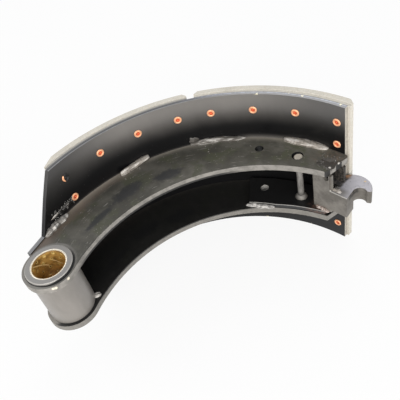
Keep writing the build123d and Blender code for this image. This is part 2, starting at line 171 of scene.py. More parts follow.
@dataclass(frozen=True)
class Wire:
    """A number, colour or vector on its way through a material: one node's output socket."""

    tree: bpy.types.NodeTree
    socket: bpy.types.NodeSocket

    def maths(self, operation: str, *others: "Wire | float", clamp: bool = False) -> "Wire":
        """Adds a Math node.

        Args:
            operation: the Math node's operation.
            others: the second and third inputs.
            clamp: whether the result stays within 0 and 1.

        Returns:
            The node's output.
        """
        node = self.tree.nodes.new("ShaderNodeMath")
        node.operation = operation
        node.use_clamp = clamp
        for place, value in zip(node.inputs, (self, *others)):
            connect(self.tree, place, value)
        return Wire(self.tree, node.outputs[0])

    def __add__(self, other: "Wire | float") -> "Wire":
        """Sum, with a number before it too."""
        return self.maths("ADD", other)

    def __sub__(self, other: "Wire | float") -> "Wire":
        """Difference."""
        return self.maths("SUBTRACT", other)

    def __rsub__(self, other: float) -> "Wire":
        """Difference from a number."""
        return (-self).maths("ADD", other)

    def __mul__(self, other: "Wire | float") -> "Wire":
        """Product, with a number before it too."""
        return self.maths("MULTIPLY", other)

    __radd__ = __add__
    __rmul__ = __mul__

    def __truediv__(self, other: "Wire | float") -> "Wire":
        """Quotient."""
        return self.maths("DIVIDE", other)

    def __neg__(self) -> "Wire":
        """The same with its sign turned."""
        return self.maths("MULTIPLY", -1.0)

    def __pow__(self, other: float) -> "Wire":
        """Power; a square is a product, which holds for values below nothing too."""
        return self.maths("MULTIPLY", self) if other == 2.0 else self.maths("POWER", other)

    def size(self) -> "Wire":
        """The value without its sign."""
        return self.maths("ABSOLUTE")

    def clip(self) -> "Wire":
        """The value held within 0 and 1."""
        return self.maths("MULTIPLY", 1.0, clamp=True)

    def near(self, middle: float, outer: float, inner: float) -> "Wire":
        """A soft line: 1 where the value is within inner of the middle, 0 where it is outer away or more."""
        return (self - middle).size().rise(outer, inner)

    def frayed(self, depth: float, noise: "Wire") -> "Wire":
        """The value with noise added, so that what is drawn at it has a ragged edge of some depth."""
        return self + depth * (noise - 0.5)

    def rise(self, start: float, end: float) -> "Wire":
        """A smooth rise from 0 at start to 1 at end, or a fall where end is below start."""
        node = self.tree.nodes.new("ShaderNodeMapRange")
        node.interpolation_type = "SMOOTHSTEP"
        for name, value in (("Value", self), ("From Min", start), ("From Max", end)):
            connect(self.tree, node.inputs[name], value)
        return Wire(self.tree, node.outputs[0])


def connect(tree: bpy.types.NodeTree, place: bpy.types.NodeSocket, value: "Wire | float | tuple") -> None:
    """Links a wire to a socket, or sets the socket to a value."""
    if isinstance(value, Wire):
        tree.links.new(value.socket, place)
    else:
        place.default_value = value


class Recipe:
    """One material while it is being made: its nodes, shader, colour so far and the surface's place."""

    def __init__(self, name: str, ground: tuple) -> None:
        """Starts a material with a Principled shader and its lowest colour."""
        self.colour: "Wire | tuple" = ground
        self.material = bpy.data.materials.new(name)
        self.material.use_nodes = True
        self.tree = self.material.node_tree
        self.tree.nodes.clear()
        self.shader = self.tree.nodes.new("ShaderNodeBsdfPrincipled")
        out = self.tree.nodes.new("ShaderNodeOutputMaterial")
        self.tree.links.new(self.shader.outputs[0], out.inputs["Surface"])
        self.place = self.node("ShaderNodeTexCoord", {}, {}, "Object")
        self.x, self.y, self.z = self.split(self.place)

    def node(self, kind: str, settings: dict, values: dict, output: str | int = 0) -> Wire:
        """Adds any node.

        Args:
            kind: the node's type.
            settings: its own settings.
            values: numbers or wires for its input sockets, by name or number.
            output: which output to give back.

        Returns:
            That output.
        """
        node = self.tree.nodes.new(kind)
        for key, value in settings.items():
            setattr(node, key, value)
        for key, value in values.items():
            connect(self.tree, node.inputs[key], value)
        return Wire(self.tree, node.outputs[output])

    def split(self, vector: Wire) -> tuple[Wire, Wire, Wire]:
        """The three parts of a vector."""
        node = self.tree.nodes.new("ShaderNodeSeparateXYZ")
        self.tree.links.new(vector.socket, node.inputs[0])
        return tuple(Wire(self.tree, out) for out in node.outputs)

    def noise(self, scale: float, detail: float = 3.0, roughness: float = 0.55, squeeze: tuple = (1, 1, 1),
              shift: tuple = (0, 0, 0)) -> Wire:
        """Cloudy noise read at the surface's own place.

        Args:
            scale: cells to the metre.
            detail: how many finer layers lie over it.
            roughness: how strong the finer layers are.
            squeeze: scale along each axis, to draw the clouds out.
            shift: where in the noise the piece lies, in metres.

        Returns:
            A value about 0.5.
        """
        place = self.node("ShaderNodeMapping", {},
                          {"Vector": self.place, "Scale": squeeze, "Location": shift})
        return self.node("ShaderNodeTexNoise", {},
                         {"Vector": place, "Scale": scale, "Detail": detail, "Roughness": roughness})

    def drawn_noise(self, x: Wire, y: Wire, z: Wire) -> Wire:
        """Noise read at a place of the recipe's own making, whose three numbers are counted in cells."""
        place = self.node("ShaderNodeCombineXYZ", {}, {"X": x, "Y": y, "Z": z})
        return self.node("ShaderNodeTexNoise", {}, {"Vector": place, "Scale": 1.0, "Detail": 3.0})

    def specks(self, scale: float, cover: float, shift: tuple = (0, 0, 0)) -> Wire:
        """Small round specks at the middle of random cells: one inside a speck, nothing outside.

        Args:
            scale: cells to the metre.
            cover: the specks' radius as a share of a cell.
            shift: where in the cells the piece lies, in metres.

        Returns:
            A mask.
        """
        place = self.node("ShaderNodeMapping", {}, {"Vector": self.place, "Location": shift})
        far = self.node("ShaderNodeTexVoronoi", {}, {"Vector": place, "Scale": scale}, "Distance")
        return far.rise(cover, cover * 0.5)

    def mix(self, share: "Wire | float", under: "Wire | tuple", over: "Wire | tuple") -> Wire:
        """A colour between two: under where share is 0, over where it is 1."""
        node = self.tree.nodes.new("ShaderNodeMix")
        node.data_type = "RGBA"
        connect(self.tree, node.inputs["Factor"], share)
        for place, value in ((node.inputs[6], under), (node.inputs[7], over)):
            connect(self.tree, place, value if isinstance(value, Wire) else (*value, 1.0))
        return Wire(self.tree, node.outputs[2])

    def lay(self, share: "Wire | float", over: "Wire | tuple") -> None:
        """Lays a colour over what the material has so far, wholly where share is 1."""
        self.colour = self.mix(share, self.colour, over)

    def own_map(self, name: str) -> tuple[Wire, Wire]:
        """The two numbers of the piece's own map."""
        first, second, _ = self.split(self.node("ShaderNodeUVMap", {"uv_map": name}, {}))
        return first, second

    def from_axis(self, x: float, y: float) -> Wire:
        """Distance of the surface from an upright axis at x, y: the root of the sum of squares."""
        return ((self.x - x) ** 2.0 + (self.y - y) ** 2.0) ** 0.5

    def in_hole(self, x: float, y: float, radius: float) -> Wire:
        """One within a radius of an upright axis, nothing outside."""
        return self.from_axis(x, y).rise(radius, radius - 0.2 * MM)

    def from_point(self, x: float, y: float, z: float) -> Wire:
        """Distance of the surface from a point."""
        return ((self.x - x) ** 2.0 + (self.y - y) ** 2.0 + (self.z - z) ** 2.0) ** 0.5

    def around(self) -> Wire:
        """Angle around the drum in degrees, from the arc tangent of the surface's place about its axis."""
        return (ANCHOR_TO_DRUM - self.x).maths("ARCTAN2", self.y) * math.degrees(1.0)

    def cam_end(self) -> tuple[Wire, Wire]:
        """Distance past the table's cam end and distance out from the drum's axis across it."""
        x = self.x - ANCHOR_TO_DRUM
        return x * CAM_COS - self.y * CAM_SIN, x * CAM_SIN + self.y * CAM_COS

    def streaks(self, along: float, across: float) -> Wire:
        """Noise drawn out along the drum's arcs, read at the angle around and the distance from the axis.

        Args:
            along: cells to the degree.
            across: cells to the metre of radius.

        Returns:
            A value about 0.5.
        """
        return self.drawn_noise(self.around() * along, self.radius() * across, self.z * 60.0)

    def radius(self) -> Wire:
        """Distance of the surface from the drum's axis."""
        return self.from_axis(ANCHOR_TO_DRUM, 0.0)

    def oval(self, around: float, radius: float, half_around: float, half_radius: float, blur: Wire) -> Wire:
        """A soft oval on a web: one inside, nothing outside, with a cloudy rim.

        Args:
            around: its middle, in degrees around the drum.
            radius: its middle's distance from the drum's axis.
            half_around: half its length in degrees.
            half_radius: half its width in metres.
            blur: noise that frays its rim.

        Returns:
            A mask.
        """
        long = (self.around() - around) / half_around
        wide = (self.radius() - radius) / half_radius
        far = (long ** 2.0 + wide ** 2.0) ** 0.5
        return far.frayed(1.2, blur).rise(1.15, 0.5)

    def facing(self, axis: int) -> Wire:
        """How far the surface faces along X, Y or Z, from -1 to 1."""
        normal = self.node("ShaderNodeNewGeometry", {}, {}, "True Normal")
        return self.split(normal)[axis]

    def bump(self, height: Wire, depth: float, strength: float = 1.0, under: Wire | None = None) -> Wire:
        """A normal bent by a height.

        Args:
            height: the height, 0 to 1.
            depth: what a height of 1 is, in metres.
            strength: how much of it is used.
            under: another bump that it lies on.

        Returns:
            The normal.
        """
        values = {"Height": height, "Distance": depth, "Strength": strength}
        if under is not None:
            values["Normal"] = under
        return self.node("ShaderNodeBump", {}, values)

    def finish(self, **sockets: "Wire | float") -> bpy.types.Material:
        """Sets the shader's colour and sockets, with underscores for spaces in their names.

        Args:
            sockets: wires or numbers for the shader's other sockets.

        Returns:
            The finished material.
        """
        base = self.colour if isinstance(self.colour, Wire) else (*self.colour, 1.0)
        connect(self.tree, self.shader.inputs["Base Color"], base)
        for key, value in sockets.items():
            connect(self.tree, self.shader.inputs[key.replace("_", " ")], value)
        return self.material


@dataclass(frozen=True)
class TablePaint:
    """Glossy black paint on the rolled plate: dusted grey towards its upper long edge, partly a real dusting
    and partly a painted sheen, and rubbed grey along its rims, with a painted highlight on the inner arris.
    """

    black: tuple = (0.0035, 0.0035, 0.004)
    dust_and_sheen: tuple = (0.185, 0.172, 0.158)
    edge: tuple = (0.24, 0.24, 0.245)
    shadow: tuple = (0.105, 0.105, 0.11)
    blue: tuple = (0.27, 0.285, 0.34)
    sawn: tuple = (0.44, 0.405, 0.35)
    chip: tuple = (0.72, 0.66, 0.46)
    score_radius: float = 197.1 * MM
    arris_radius: float = 194.9 * MM

    def material(self) -> bpy.types.Material:
        """Builds the finish."""
        make = Recipe("table_paint", self.black)
        cloud = make.noise(16.0, 4.0, 0.55, squeeze=(1, 1, 0.7))
        fine = make.noise(330.0, 4.0, 0.6)
        height = make.z.size()
        # dusted grey towards the upper long edge, fading towards both ends: partly a real dusting, partly a
        # painted sheen
        spread = make.z.frayed(14 * MM, cloud).rise(54 * MM, 92 * MM)
        around = make.around()
        spread = spread * (0.42 + 0.58 * around.rise(-27.0, 4.0)) * (1.0 - 0.8 * around.rise(40.0, 66.0))
        make.lay(spread * (0.6 + 0.4 * cloud), self.dust_and_sheen)
        # lighter band on the table along the upper web's outer face: partly a dusting, partly a painted
        # reflection of the web's edge
        foot = make.z.rise(WEB_OUTER_FACE + 9 * MM, WEB_OUTER_FACE) ** 2.0 * around.rise(6.0, 0.0)
        close = make.z.rise(WEB_OUTER_FACE + 2.5 * MM, WEB_OUTER_FACE)
        outside = make.z.rise(WEB_INNER_FACE + 2 * MM, WEB_OUTER_FACE - 2 * MM) * around.rise(-27.0, -20.0)
        make.lay((0.5 * foot + 0.2 * close) * outside, self.dust_and_sheen)
        rim = make.facing(2).size().rise(0.55, 0.8)
        cam_half = around.rise(24.0, 12.0)
        scrape = make.noise(230.0, 4.0, 0.65).rise(0.40, 0.62)
        radius = make.radius()
        make.lay(rim, self.shadow)
        scored = radius.near(self.score_radius, 0.7 * MM, 0.3 * MM) * around.rise(10.0, 20.0)
        make.lay(rim * scored * 0.85, self.black)
        # pale line along the inner arris: rubbed paint and a painted highlight; the straight tongue's rims are
        # painted pale too
        arris = radius.near(self.arris_radius, 0.7 * MM, 0.35 * MM) * (1.0 - 0.7 * cam_half)
        tongue = around.rise(71.0, 77.0)
        make.lay((rim * (arris * (0.5 + 0.5 * scrape) + 0.8 * tongue)).clip(), self.edge)
        top = rim * cam_half * radius.rise(196.4 * MM, 197.6 * MM)
        make.lay(top * (0.35 + 0.55 * scrape), self.blue)
        past, _ = make.cam_end()
        end = (make.facing(0) * CAM_COS - make.facing(1) * CAM_SIN).rise(0.7, 0.85)
        make.lay(end * past.rise(-3.0 * MM, -2.0 * MM) * (0.8 + 0.2 * scrape), self.sawn)
        shoulder = height.rise(HALF_WIDTH - 1.3 * MM, HALF_WIDTH - 0.4 * MM)
        chips = make.noise(105.0, 2.0, 0.5, shift=(0.31, 0, 0)).rise(0.655, 0.685) * shoulder * cam_half
        make.lay(chips, self.chip)
        make.lay(make.specks(150.0, 0.05) * 0.35, self.edge)
        rough = 0.27 + 0.12 * cloud + 0.06 * fine
        shine = 0.12 + 0.7 * make.z.rise(34.0 * MM, 86.0 * MM)
        normal = make.bump(fine, 0.035 * MM, 0.35)
        return make.finish(Roughness=rough, Normal=normal, Specular_IOR_Level=0.2,
                           Coat_Weight=shine, Coat_Roughness=0.2, Coat_IOR=1.6)


@dataclass(frozen=True)
class WebPaint:
    """Thin primer on the webs: mottled olive brown outside, black inside the channel as painted shade, pale on
    the sawn edges, paler along the outer edge by the table, burnt and scraped near the cam end."""

    face: tuple = (0.060, 0.057, 0.046)
    face_light: tuple = (0.118, 0.112, 0.094)
    olive: tuple = (0.074, 0.076, 0.050)
    brown: tuple = (0.155, 0.115, 0.088)
    inside: tuple = (0.0045, 0.0045, 0.0048)
    edge: tuple = (0.268, 0.253, 0.230)
    edge_dull: tuple = (0.178, 0.168, 0.152)
    dark: tuple = (0.024, 0.025, 0.027)
    black: tuple = (0.008, 0.008, 0.008)
    scratch: tuple = (0.40, 0.385, 0.35)
    collar: tuple = (0.19, 0.182, 0.168)
    spot: tuple = (0.80, 0.72, 0.58)
    pale_by_table: tuple = (0.40, 0.362, 0.305)
    smudges: tuple = ((50.0, 0.1610, 8.5, 10 * MM), (33.0, 0.1560, 7.0, 9 * MM), (66.0, 0.1560, 9.0, 5 * MM))
    spots: tuple = ((0.0143, -0.0241, 0.0338), (0.0165, -0.0226, 0.0335), (0.0255, -0.0116, 0.0345))
    cut_slant: float = 0.194

    def material(self) -> bpy.types.Material:
        """Builds the finish."""
        make = Recipe("web_paint", self.face)
        broad = make.facing(2).size().rise(0.45, 0.7)
        cloud = make.noise(26.0, 5.0, 0.62)
        fine = make.noise(260.0, 4.0, 0.6)
        patch = make.noise(48.0, 3.0, 0.6, shift=(0.1, 0.2, 0))
        radius = make.radius()
        around = make.around()
        make.lay(cloud.rise(0.4, 0.66), self.face_light)
        make.lay(patch.rise(0.48, 0.64), self.olive)
        rosy = radius.frayed(16 * MM, patch).rise(178 * MM, 190 * MM) * around.rise(36.0, 55.0)
        make.lay(rosy * 0.75, self.brown)
        make.lay(around.rise(-18.0, 52.0) * 0.24, self.dark)
        burn = around.rise(-20.0, -26.0) * radius.rise(166 * MM, 174 * MM) * fine.rise(0.42, 0.6)
        make.lay(burn * 0.45, self.brown)
        self.wear(make, fine, patch)
        # a paler band along the web's outer edge by the table, and a broader pale patch from 34 to 50 degrees
        # around
        by_table = radius.frayed(2.0 * MM, patch).rise(183.5 * MM, 195.0 * MM)
        wide = radius.frayed(5.0 * MM, patch).rise(178.0 * MM, 192.0 * MM) * around.rise(34.0, 50.0)
        ends = around.rise(-27.5, -21.0) * around.rise(74.0, 64.0)
        make.lay((0.5 * by_table ** 2.0 + 0.13 * wide) * ends, self.pale_by_table)
        # painted shade: the faces inside the channel are laid near black, save a pale ring round the sleeve on
        # the eyes' inner faces
        inner = make.z.size().rise(WEB_INNER_FACE + 0.5 * MM, WEB_INNER_FACE + 0.2 * MM)
        make.lay(inner * (1.0 - 0.15 * fine), self.inside)
        ring = make.from_axis(0.0, 0.0).rise(29.0 * MM, 28.5 * MM) * (make.x - make.y).rise(24 * MM, 15 * MM)
        make.lay(inner * ring * make.x.rise(10 * MM, 2 * MM) * 0.9, self.edge)
        edge = make.mix(make.noise(120.0, 4.0, 0.6).rise(0.4, 0.68), self.edge, self.edge_dull)
        past, out = make.cam_end()
        burnt = out.rise(168.0 * MM, 167.0 * MM) + out.near(179.5 * MM, 4.6 * MM, 3.6 * MM)
        upper = make.z.rise(0.0, 10 * MM)
        cut = (past - self.cut_slant * (out - TABLE_INNER)).rise(3.5 * MM, 4.5 * MM) * upper
        edge = make.mix((burnt * cut).clip() * 0.93, edge, self.black)
        # painted shade: the walls of the upper web's holes are laid black
        for hole in WEB_HOLES:
            edge = make.mix(make.in_hole(*hole) * upper, edge, self.black)
        for place in self.spots:
            spot = make.from_point(*place).frayed(1.2 * MM, fine).rise(2.0 * MM, 1.1 * MM)
            edge = make.mix(spot, edge, self.spot)
        lower = make.z.rise(1 * MM, 0.0)
        edge = make.mix(lower * 0.6, edge, self.edge_dull)
        # the channel's painted shade also covers each web's edge for two to three millimetres next to the inner
        # face
        depth = make.z.size() - WEB_INNER_FACE + 0.9 * MM * lower
        lap = depth.rise(3.0 * MM, 1.9 * MM) * around.rise(-2.0, 12.0) * around.rise(92.0, 80.0)
        edge = make.mix(lap * 0.93, edge, self.inside)
        make.colour = make.mix(broad, edge, make.colour)
        rough = 0.40 + 0.22 * fine
        normal = make.bump(make.noise(700.0, 3.0), 0.04 * MM, 0.7)
        return make.finish(Roughness=rough, Normal=normal, Specular_IOR_Level=0.4)

    def wear(self, make: Recipe, fine: Wire, patch: Wire) -> None:
        """Lays specks, scratches along the arc, dark smudges, and rubbing and a painted shadow round the
        sleeve.

        Args:
            make: the recipe.
            fine: fine noise.
            patch: coarse noise.
        """
        specks = make.specks(260.0, 0.16, shift=(0.2, 0.1, 0.0)) * patch.rise(0.46, 0.62)
        make.lay(specks * 0.6, self.scratch)
        streak = make.streaks(0.16, 900.0).rise(0.63, 0.72) * fine.rise(0.42, 0.55)
        make.lay(streak * 0.55, self.scratch)
        make.lay(make.streaks(0.3, 420.0).rise(0.36, 0.28) * 0.4, self.dark)
        for smudge in self.smudges:
            make.lay(make.oval(*smudge, fine) * 0.88, self.dark)
        anchor = make.from_axis(0.0, 0.0)
        side = (make.x - make.y).rise(-14 * MM, 12 * MM)
        rubbed = anchor.rise(29.5 * MM, 27.0 * MM) * (1.0 - 0.7 * make.x.rise(4 * MM, 20 * MM))
        make.lay(rubbed * 0.9, self.collar)
        # painted shadow in the gap round the sleeve's foot on the web, on one side only
        wide = 1.1 * MM * make.x.rise(-4 * MM, 18 * MM)
        grime_and_shade = (anchor - wide).frayed(0.6 * MM, fine).rise(25.4 * MM, 25.0 * MM) * side
        make.lay(grime_and_shade * 0.95, self.black)


@dataclass(frozen=True)
class PlatePaint:
    """Black paint on the reinforcing plate, with a pale line along its upper rim that is rubbed paint and a
    painted highlight, and painted light on the wall of its small hole.
    """

    black: tuple = (0.0078, 0.0078, 0.008)
    brown: tuple = (0.075, 0.042, 0.030)
    rim: tuple = (0.34, 0.33, 0.31)

    def material(self) -> bpy.types.Material:
        """Builds the finish."""
        make = Recipe("plate_paint", self.black)
        fine = make.noise(260.0, 4.0, 0.6)
        past, out = make.cam_end()
        heat = past.frayed(16 * MM, fine).rise(-27.0 * MM, -19.0 * MM)
        make.lay(heat * fine.rise(0.35, 0.6), self.brown)
        # pale line along the upper rim: rubbed paint and a painted highlight on the corner
        rim = make.z.rise(PLATE_TOP - 1.3 * MM, PLATE_TOP - 0.8 * MM) * make.facing(2).rise(0.6, 0.3)
        make.lay(rim * (0.6 + 0.4 * fine), self.rim)
        # painted light on the wall of the small hole through the plate
        make.lay(make.in_hole(*WEB_HOLES[0]) * make.facing(2).rise(0.6, 0.3), self.rim)
        normal = make.bump(make.noise(700.0, 3.0), 0.04 * MM, 0.6)
        return make.finish(Roughness=0.3 + 0.2 * fine, Normal=normal, Specular_IOR_Level=0.6)


@dataclass(frozen=True)
class TurnedPin:
    """Turned steel under grey paint, bare and cream on the end that shows in the web."""

    paint: tuple = (0.22, 0.21, 0.195)
    dark: tuple = (0.05, 0.046, 0.042)
    bare: tuple = (0.47, 0.43, 0.36)

    def material(self) -> bpy.types.Material:
        """Builds the finish."""
        make = Recipe("pin_steel", self.paint)
        fine = make.noise(300.0, 4.0, 0.6, squeeze=(1, 1, 0.3))
        make.lay(fine.rise(0.45, 0.65) * 0.5, self.dark)
        foot = make.z.frayed(6 * MM, fine).rise(-13.0 * MM, -21.0 * MM)
        make.lay(foot * 0.8, self.dark)
        make.lay(make.z.rise(34 * MM, 35 * MM), self.bare)
        normal = make.bump(make.noise(900.0, 3.0), 0.03 * MM, 0.5)
        return make.finish(Roughness=0.35 + 0.2 * fine, Normal=normal, Specular_IOR_Level=0.6)


@dataclass(frozen=True)
class SleevePaint:
    """Smooth warm grey paint on the anchor sleeve, with turned ends, thin bevels with a painted highlight, and
    painted shade at its joints, where dirt lies too, and on one side of its proud ends.
    """

    paint: tuple = (0.226, 0.209, 0.190)
    dull: tuple = (0.184, 0.170, 0.154)
    faced: tuple = (0.215, 0.208, 0.20)
    bevel_highlight: tuple = (0.55, 0.525, 0.48)
    cream: tuple = (0.80, 0.76, 0.67)
    grime_and_shade: tuple = (0.03, 0.03, 0.03)

    def material(self) -> bpy.types.Material:
        """Builds the finish."""
        make = Recipe("sleeve_paint", self.paint)
        cloud = make.noise(45.0, 4.0, 0.55, squeeze=(1, 1, 0.4))
        fine = make.noise(500.0, 3.0)
        make.lay(cloud.rise(0.4, 0.7), self.dull)
        height = make.z.size()
        # dark line where the sleeve meets each web's inner face: dirt in the joint and painted shade
        joint = height.near(WEB_INNER_FACE, 1.2 * MM, 0.3 * MM)
        make.lay(joint * 0.8, self.grime_and_shade)
        proud = height.rise(WEB_OUTER_FACE - 0.2 * MM, WEB_OUTER_FACE)
        radius = make.from_axis(0.0, 0.0)
        turned = (radius * 5200.0).maths("SINE").rise(-1.0, 1.0)
        end = make.mix(0.35 * turned * cloud.rise(0.35, 0.65), self.faced, self.dull)
        make.lay(proud, end)
        # painted shadow on one side of each proud end's outside, low down by the web
        side = (make.x - make.y).rise(-14 * MM, 10 * MM)
        foot = (height - 2.2 * MM * make.x.rise(10 * MM, 22 * MM)).rise(37.5 * MM, 37.2 * MM)
        make.lay(proud * side * foot * radius.rise(24.3 * MM, 24.45 * MM), self.grime_and_shade)
        # painted highlight on the bevel round the proud end's rim
        bevel_highlight = radius.near(24.0 * MM, 0.45 * MM, 0.3 * MM) * proud
        make.lay(bevel_highlight * 0.5, self.bevel_highlight)
        make.lay(radius.rise(18.9 * MM, 18.75 * MM) * proud, self.cream)
        rough = 0.30 + 0.14 * cloud
        normal = make.bump(fine, 0.03 * MM, 0.5)
        return make.finish(Roughness=rough, Normal=normal, Specular_IOR_Level=0.6)


@dataclass(frozen=True)
class FrictionMaterial:
    """Moulded friction material: pale warm resin full of grains, with thin dark lines on its sides."""

    base: tuple = (0.58, 0.545, 0.475)
    pale: tuple = (0.66, 0.63, 0.56)
    dark: tuple = (0.27, 0.245, 0.21)
    glint: tuple = (0.66, 0.45, 0.23)
    line: tuple = (0.30, 0.29, 0.27)
    crack: tuple = (0.055, 0.052, 0.05)

    def material(self) -> bpy.types.Material:
        """Builds the finish."""
        make = Recipe("friction_lining", self.base)
        grains = make.noise(420.0, 5.0, 0.7)
        make.lay(grains.rise(0.42, 0.66), self.pale)
        make.lay(make.specks(520.0, 0.24) * 0.4, self.dark)
        make.lay(make.specks(300.0, 0.12, shift=(0.4, 0.1, 0.2)) * 0.8, self.glint)
        stain = make.noise(22.0, 3.0, 0.5)
        make.lay(stain.rise(0.5, 0.75) * 0.3, self.dark)
        radius = make.radius()
        face = radius.rise(208.5 * MM, 209.5 * MM)
        rubbed = make.streaks(0.05, 40.0).rise(0.52, 0.68)
        make.lay(face * rubbed * 0.3, self.dark)
        side = make.z.size().rise(HALF_WIDTH - 2.0 * MM, HALF_WIDTH - 1.5 * MM)
        anchor_half = make.around().rise(16.0, 20.0)
        band = radius.rise(202.1 * MM, 201.7 * MM) * side
        make.lay(band * (0.1 + 0.7 * anchor_half), self.line)
        groove = radius.near(202.2 * MM, 0.7 * MM, 0.35 * MM) * side
        make.lay(groove * (0.2 + 0.6 * anchor_half), self.crack)
        past, _ = make.cam_end()
        fit = radius.rise(199.9 * MM, 199.4 * MM) * past.rise(0.4 * MM, 0.0)
        make.lay(fit * 0.7, self.crack)
        normal = make.bump(grains, 0.10 * MM, 0.7)
        normal = make.bump(make.specks(520.0, 0.24), 0.06 * MM, 0.5, normal)
        return make.finish(Roughness=0.82, Normal=normal, Specular_IOR_Level=0.3)


@dataclass(frozen=True)
class Copper:
    """Bright rolled copper, redder in the tube's mouth; on the piece's own map the first number runs from the
    axis to the rim and the second says where black paint has run over it."""

    bright: tuple = (0.97, 0.49, 0.27)
    red: tuple = (0.64, 0.125, 0.045)
    stain: tuple = (0.52, 0.22, 0.11)
    paint: tuple = (0.012, 0.012, 0.012)
    slot: str = "copper_rivets"

    def material(self) -> bpy.types.Material:
        """Builds the finish."""
        make = Recipe("copper_rivets", self.bright)
        ring, painted = make.own_map("ring")
        cloud = make.noise(500.0, 3.0)
        make.lay(cloud.rise(0.5, 0.72) * 0.5, self.stain)
        make.lay(ring.rise(0.56, 0.44), self.red)
        covered = painted.frayed(0.6, cloud).rise(0.45, 0.6)
        make.lay(covered, self.paint)
        rough = 0.3 + 0.22 * cloud
        normal = make.bump(make.noise(1400.0, 2.0), 0.03 * MM, 0.5)
        return make.finish(Roughness=rough, Normal=normal, Metallic=0.35 * (1.0 - covered))


@dataclass(frozen=True)
class Bronze:
    """Rolled bronze bearing strip: mottled gold brown, with dark pockets of old grease. On the piece's own
    map the first number tells grooves (1), chamfers (-1) and end faces (2), and the second is the share of
    a dimple's depth."""

    gold: tuple = (0.57, 0.345, 0.095)
    brown: tuple = (0.33, 0.185, 0.045)
    yellow: tuple = (0.74, 0.56, 0.20)
    deep: tuple = (0.13, 0.070, 0.020)
    bright: tuple = (0.92, 0.72, 0.36)
    cream: tuple = (0.74, 0.69, 0.60)
    slot: str = "bronze"

    def material(self) -> bpy.types.Material:
        """Builds the finish."""
        make = Recipe("bronze", self.gold)
        shine, dimple = make.own_map("relief")
        cloud = make.noise(150.0, 4.0, 0.62, squeeze=(1, 1, 1.6))
        smear = make.noise(75.0, 3.0, 0.6, shift=(0.2, 0.1, 0))
        make.lay(cloud.rise(0.42, 0.66), self.brown)
        make.lay(smear.rise(0.56, 0.68) * 0.6, self.deep)
        make.lay(dimple.rise(0.02, 0.3) * (0.55 + 0.4 * smear.rise(0.6, 0.5)), self.yellow)
        make.lay(dimple.rise(0.65, 0.9) * cloud.rise(0.50, 0.58), self.deep)
        # the oil grooves are painted bright: a painted highlight
        make.lay(shine.rise(0.15, 0.6), self.bright)
        make.lay(shine.rise(-0.2, -0.8) * 0.8, self.deep)
        make.lay(shine.rise(1.3, 1.8), self.cream)
        rough = 0.30 + 0.2 * cloud
        normal = make.bump(make.noise(800.0, 3.0), 0.03 * MM, 0.5)
        return make.finish(Roughness=rough, Normal=normal, Metallic=0.4)


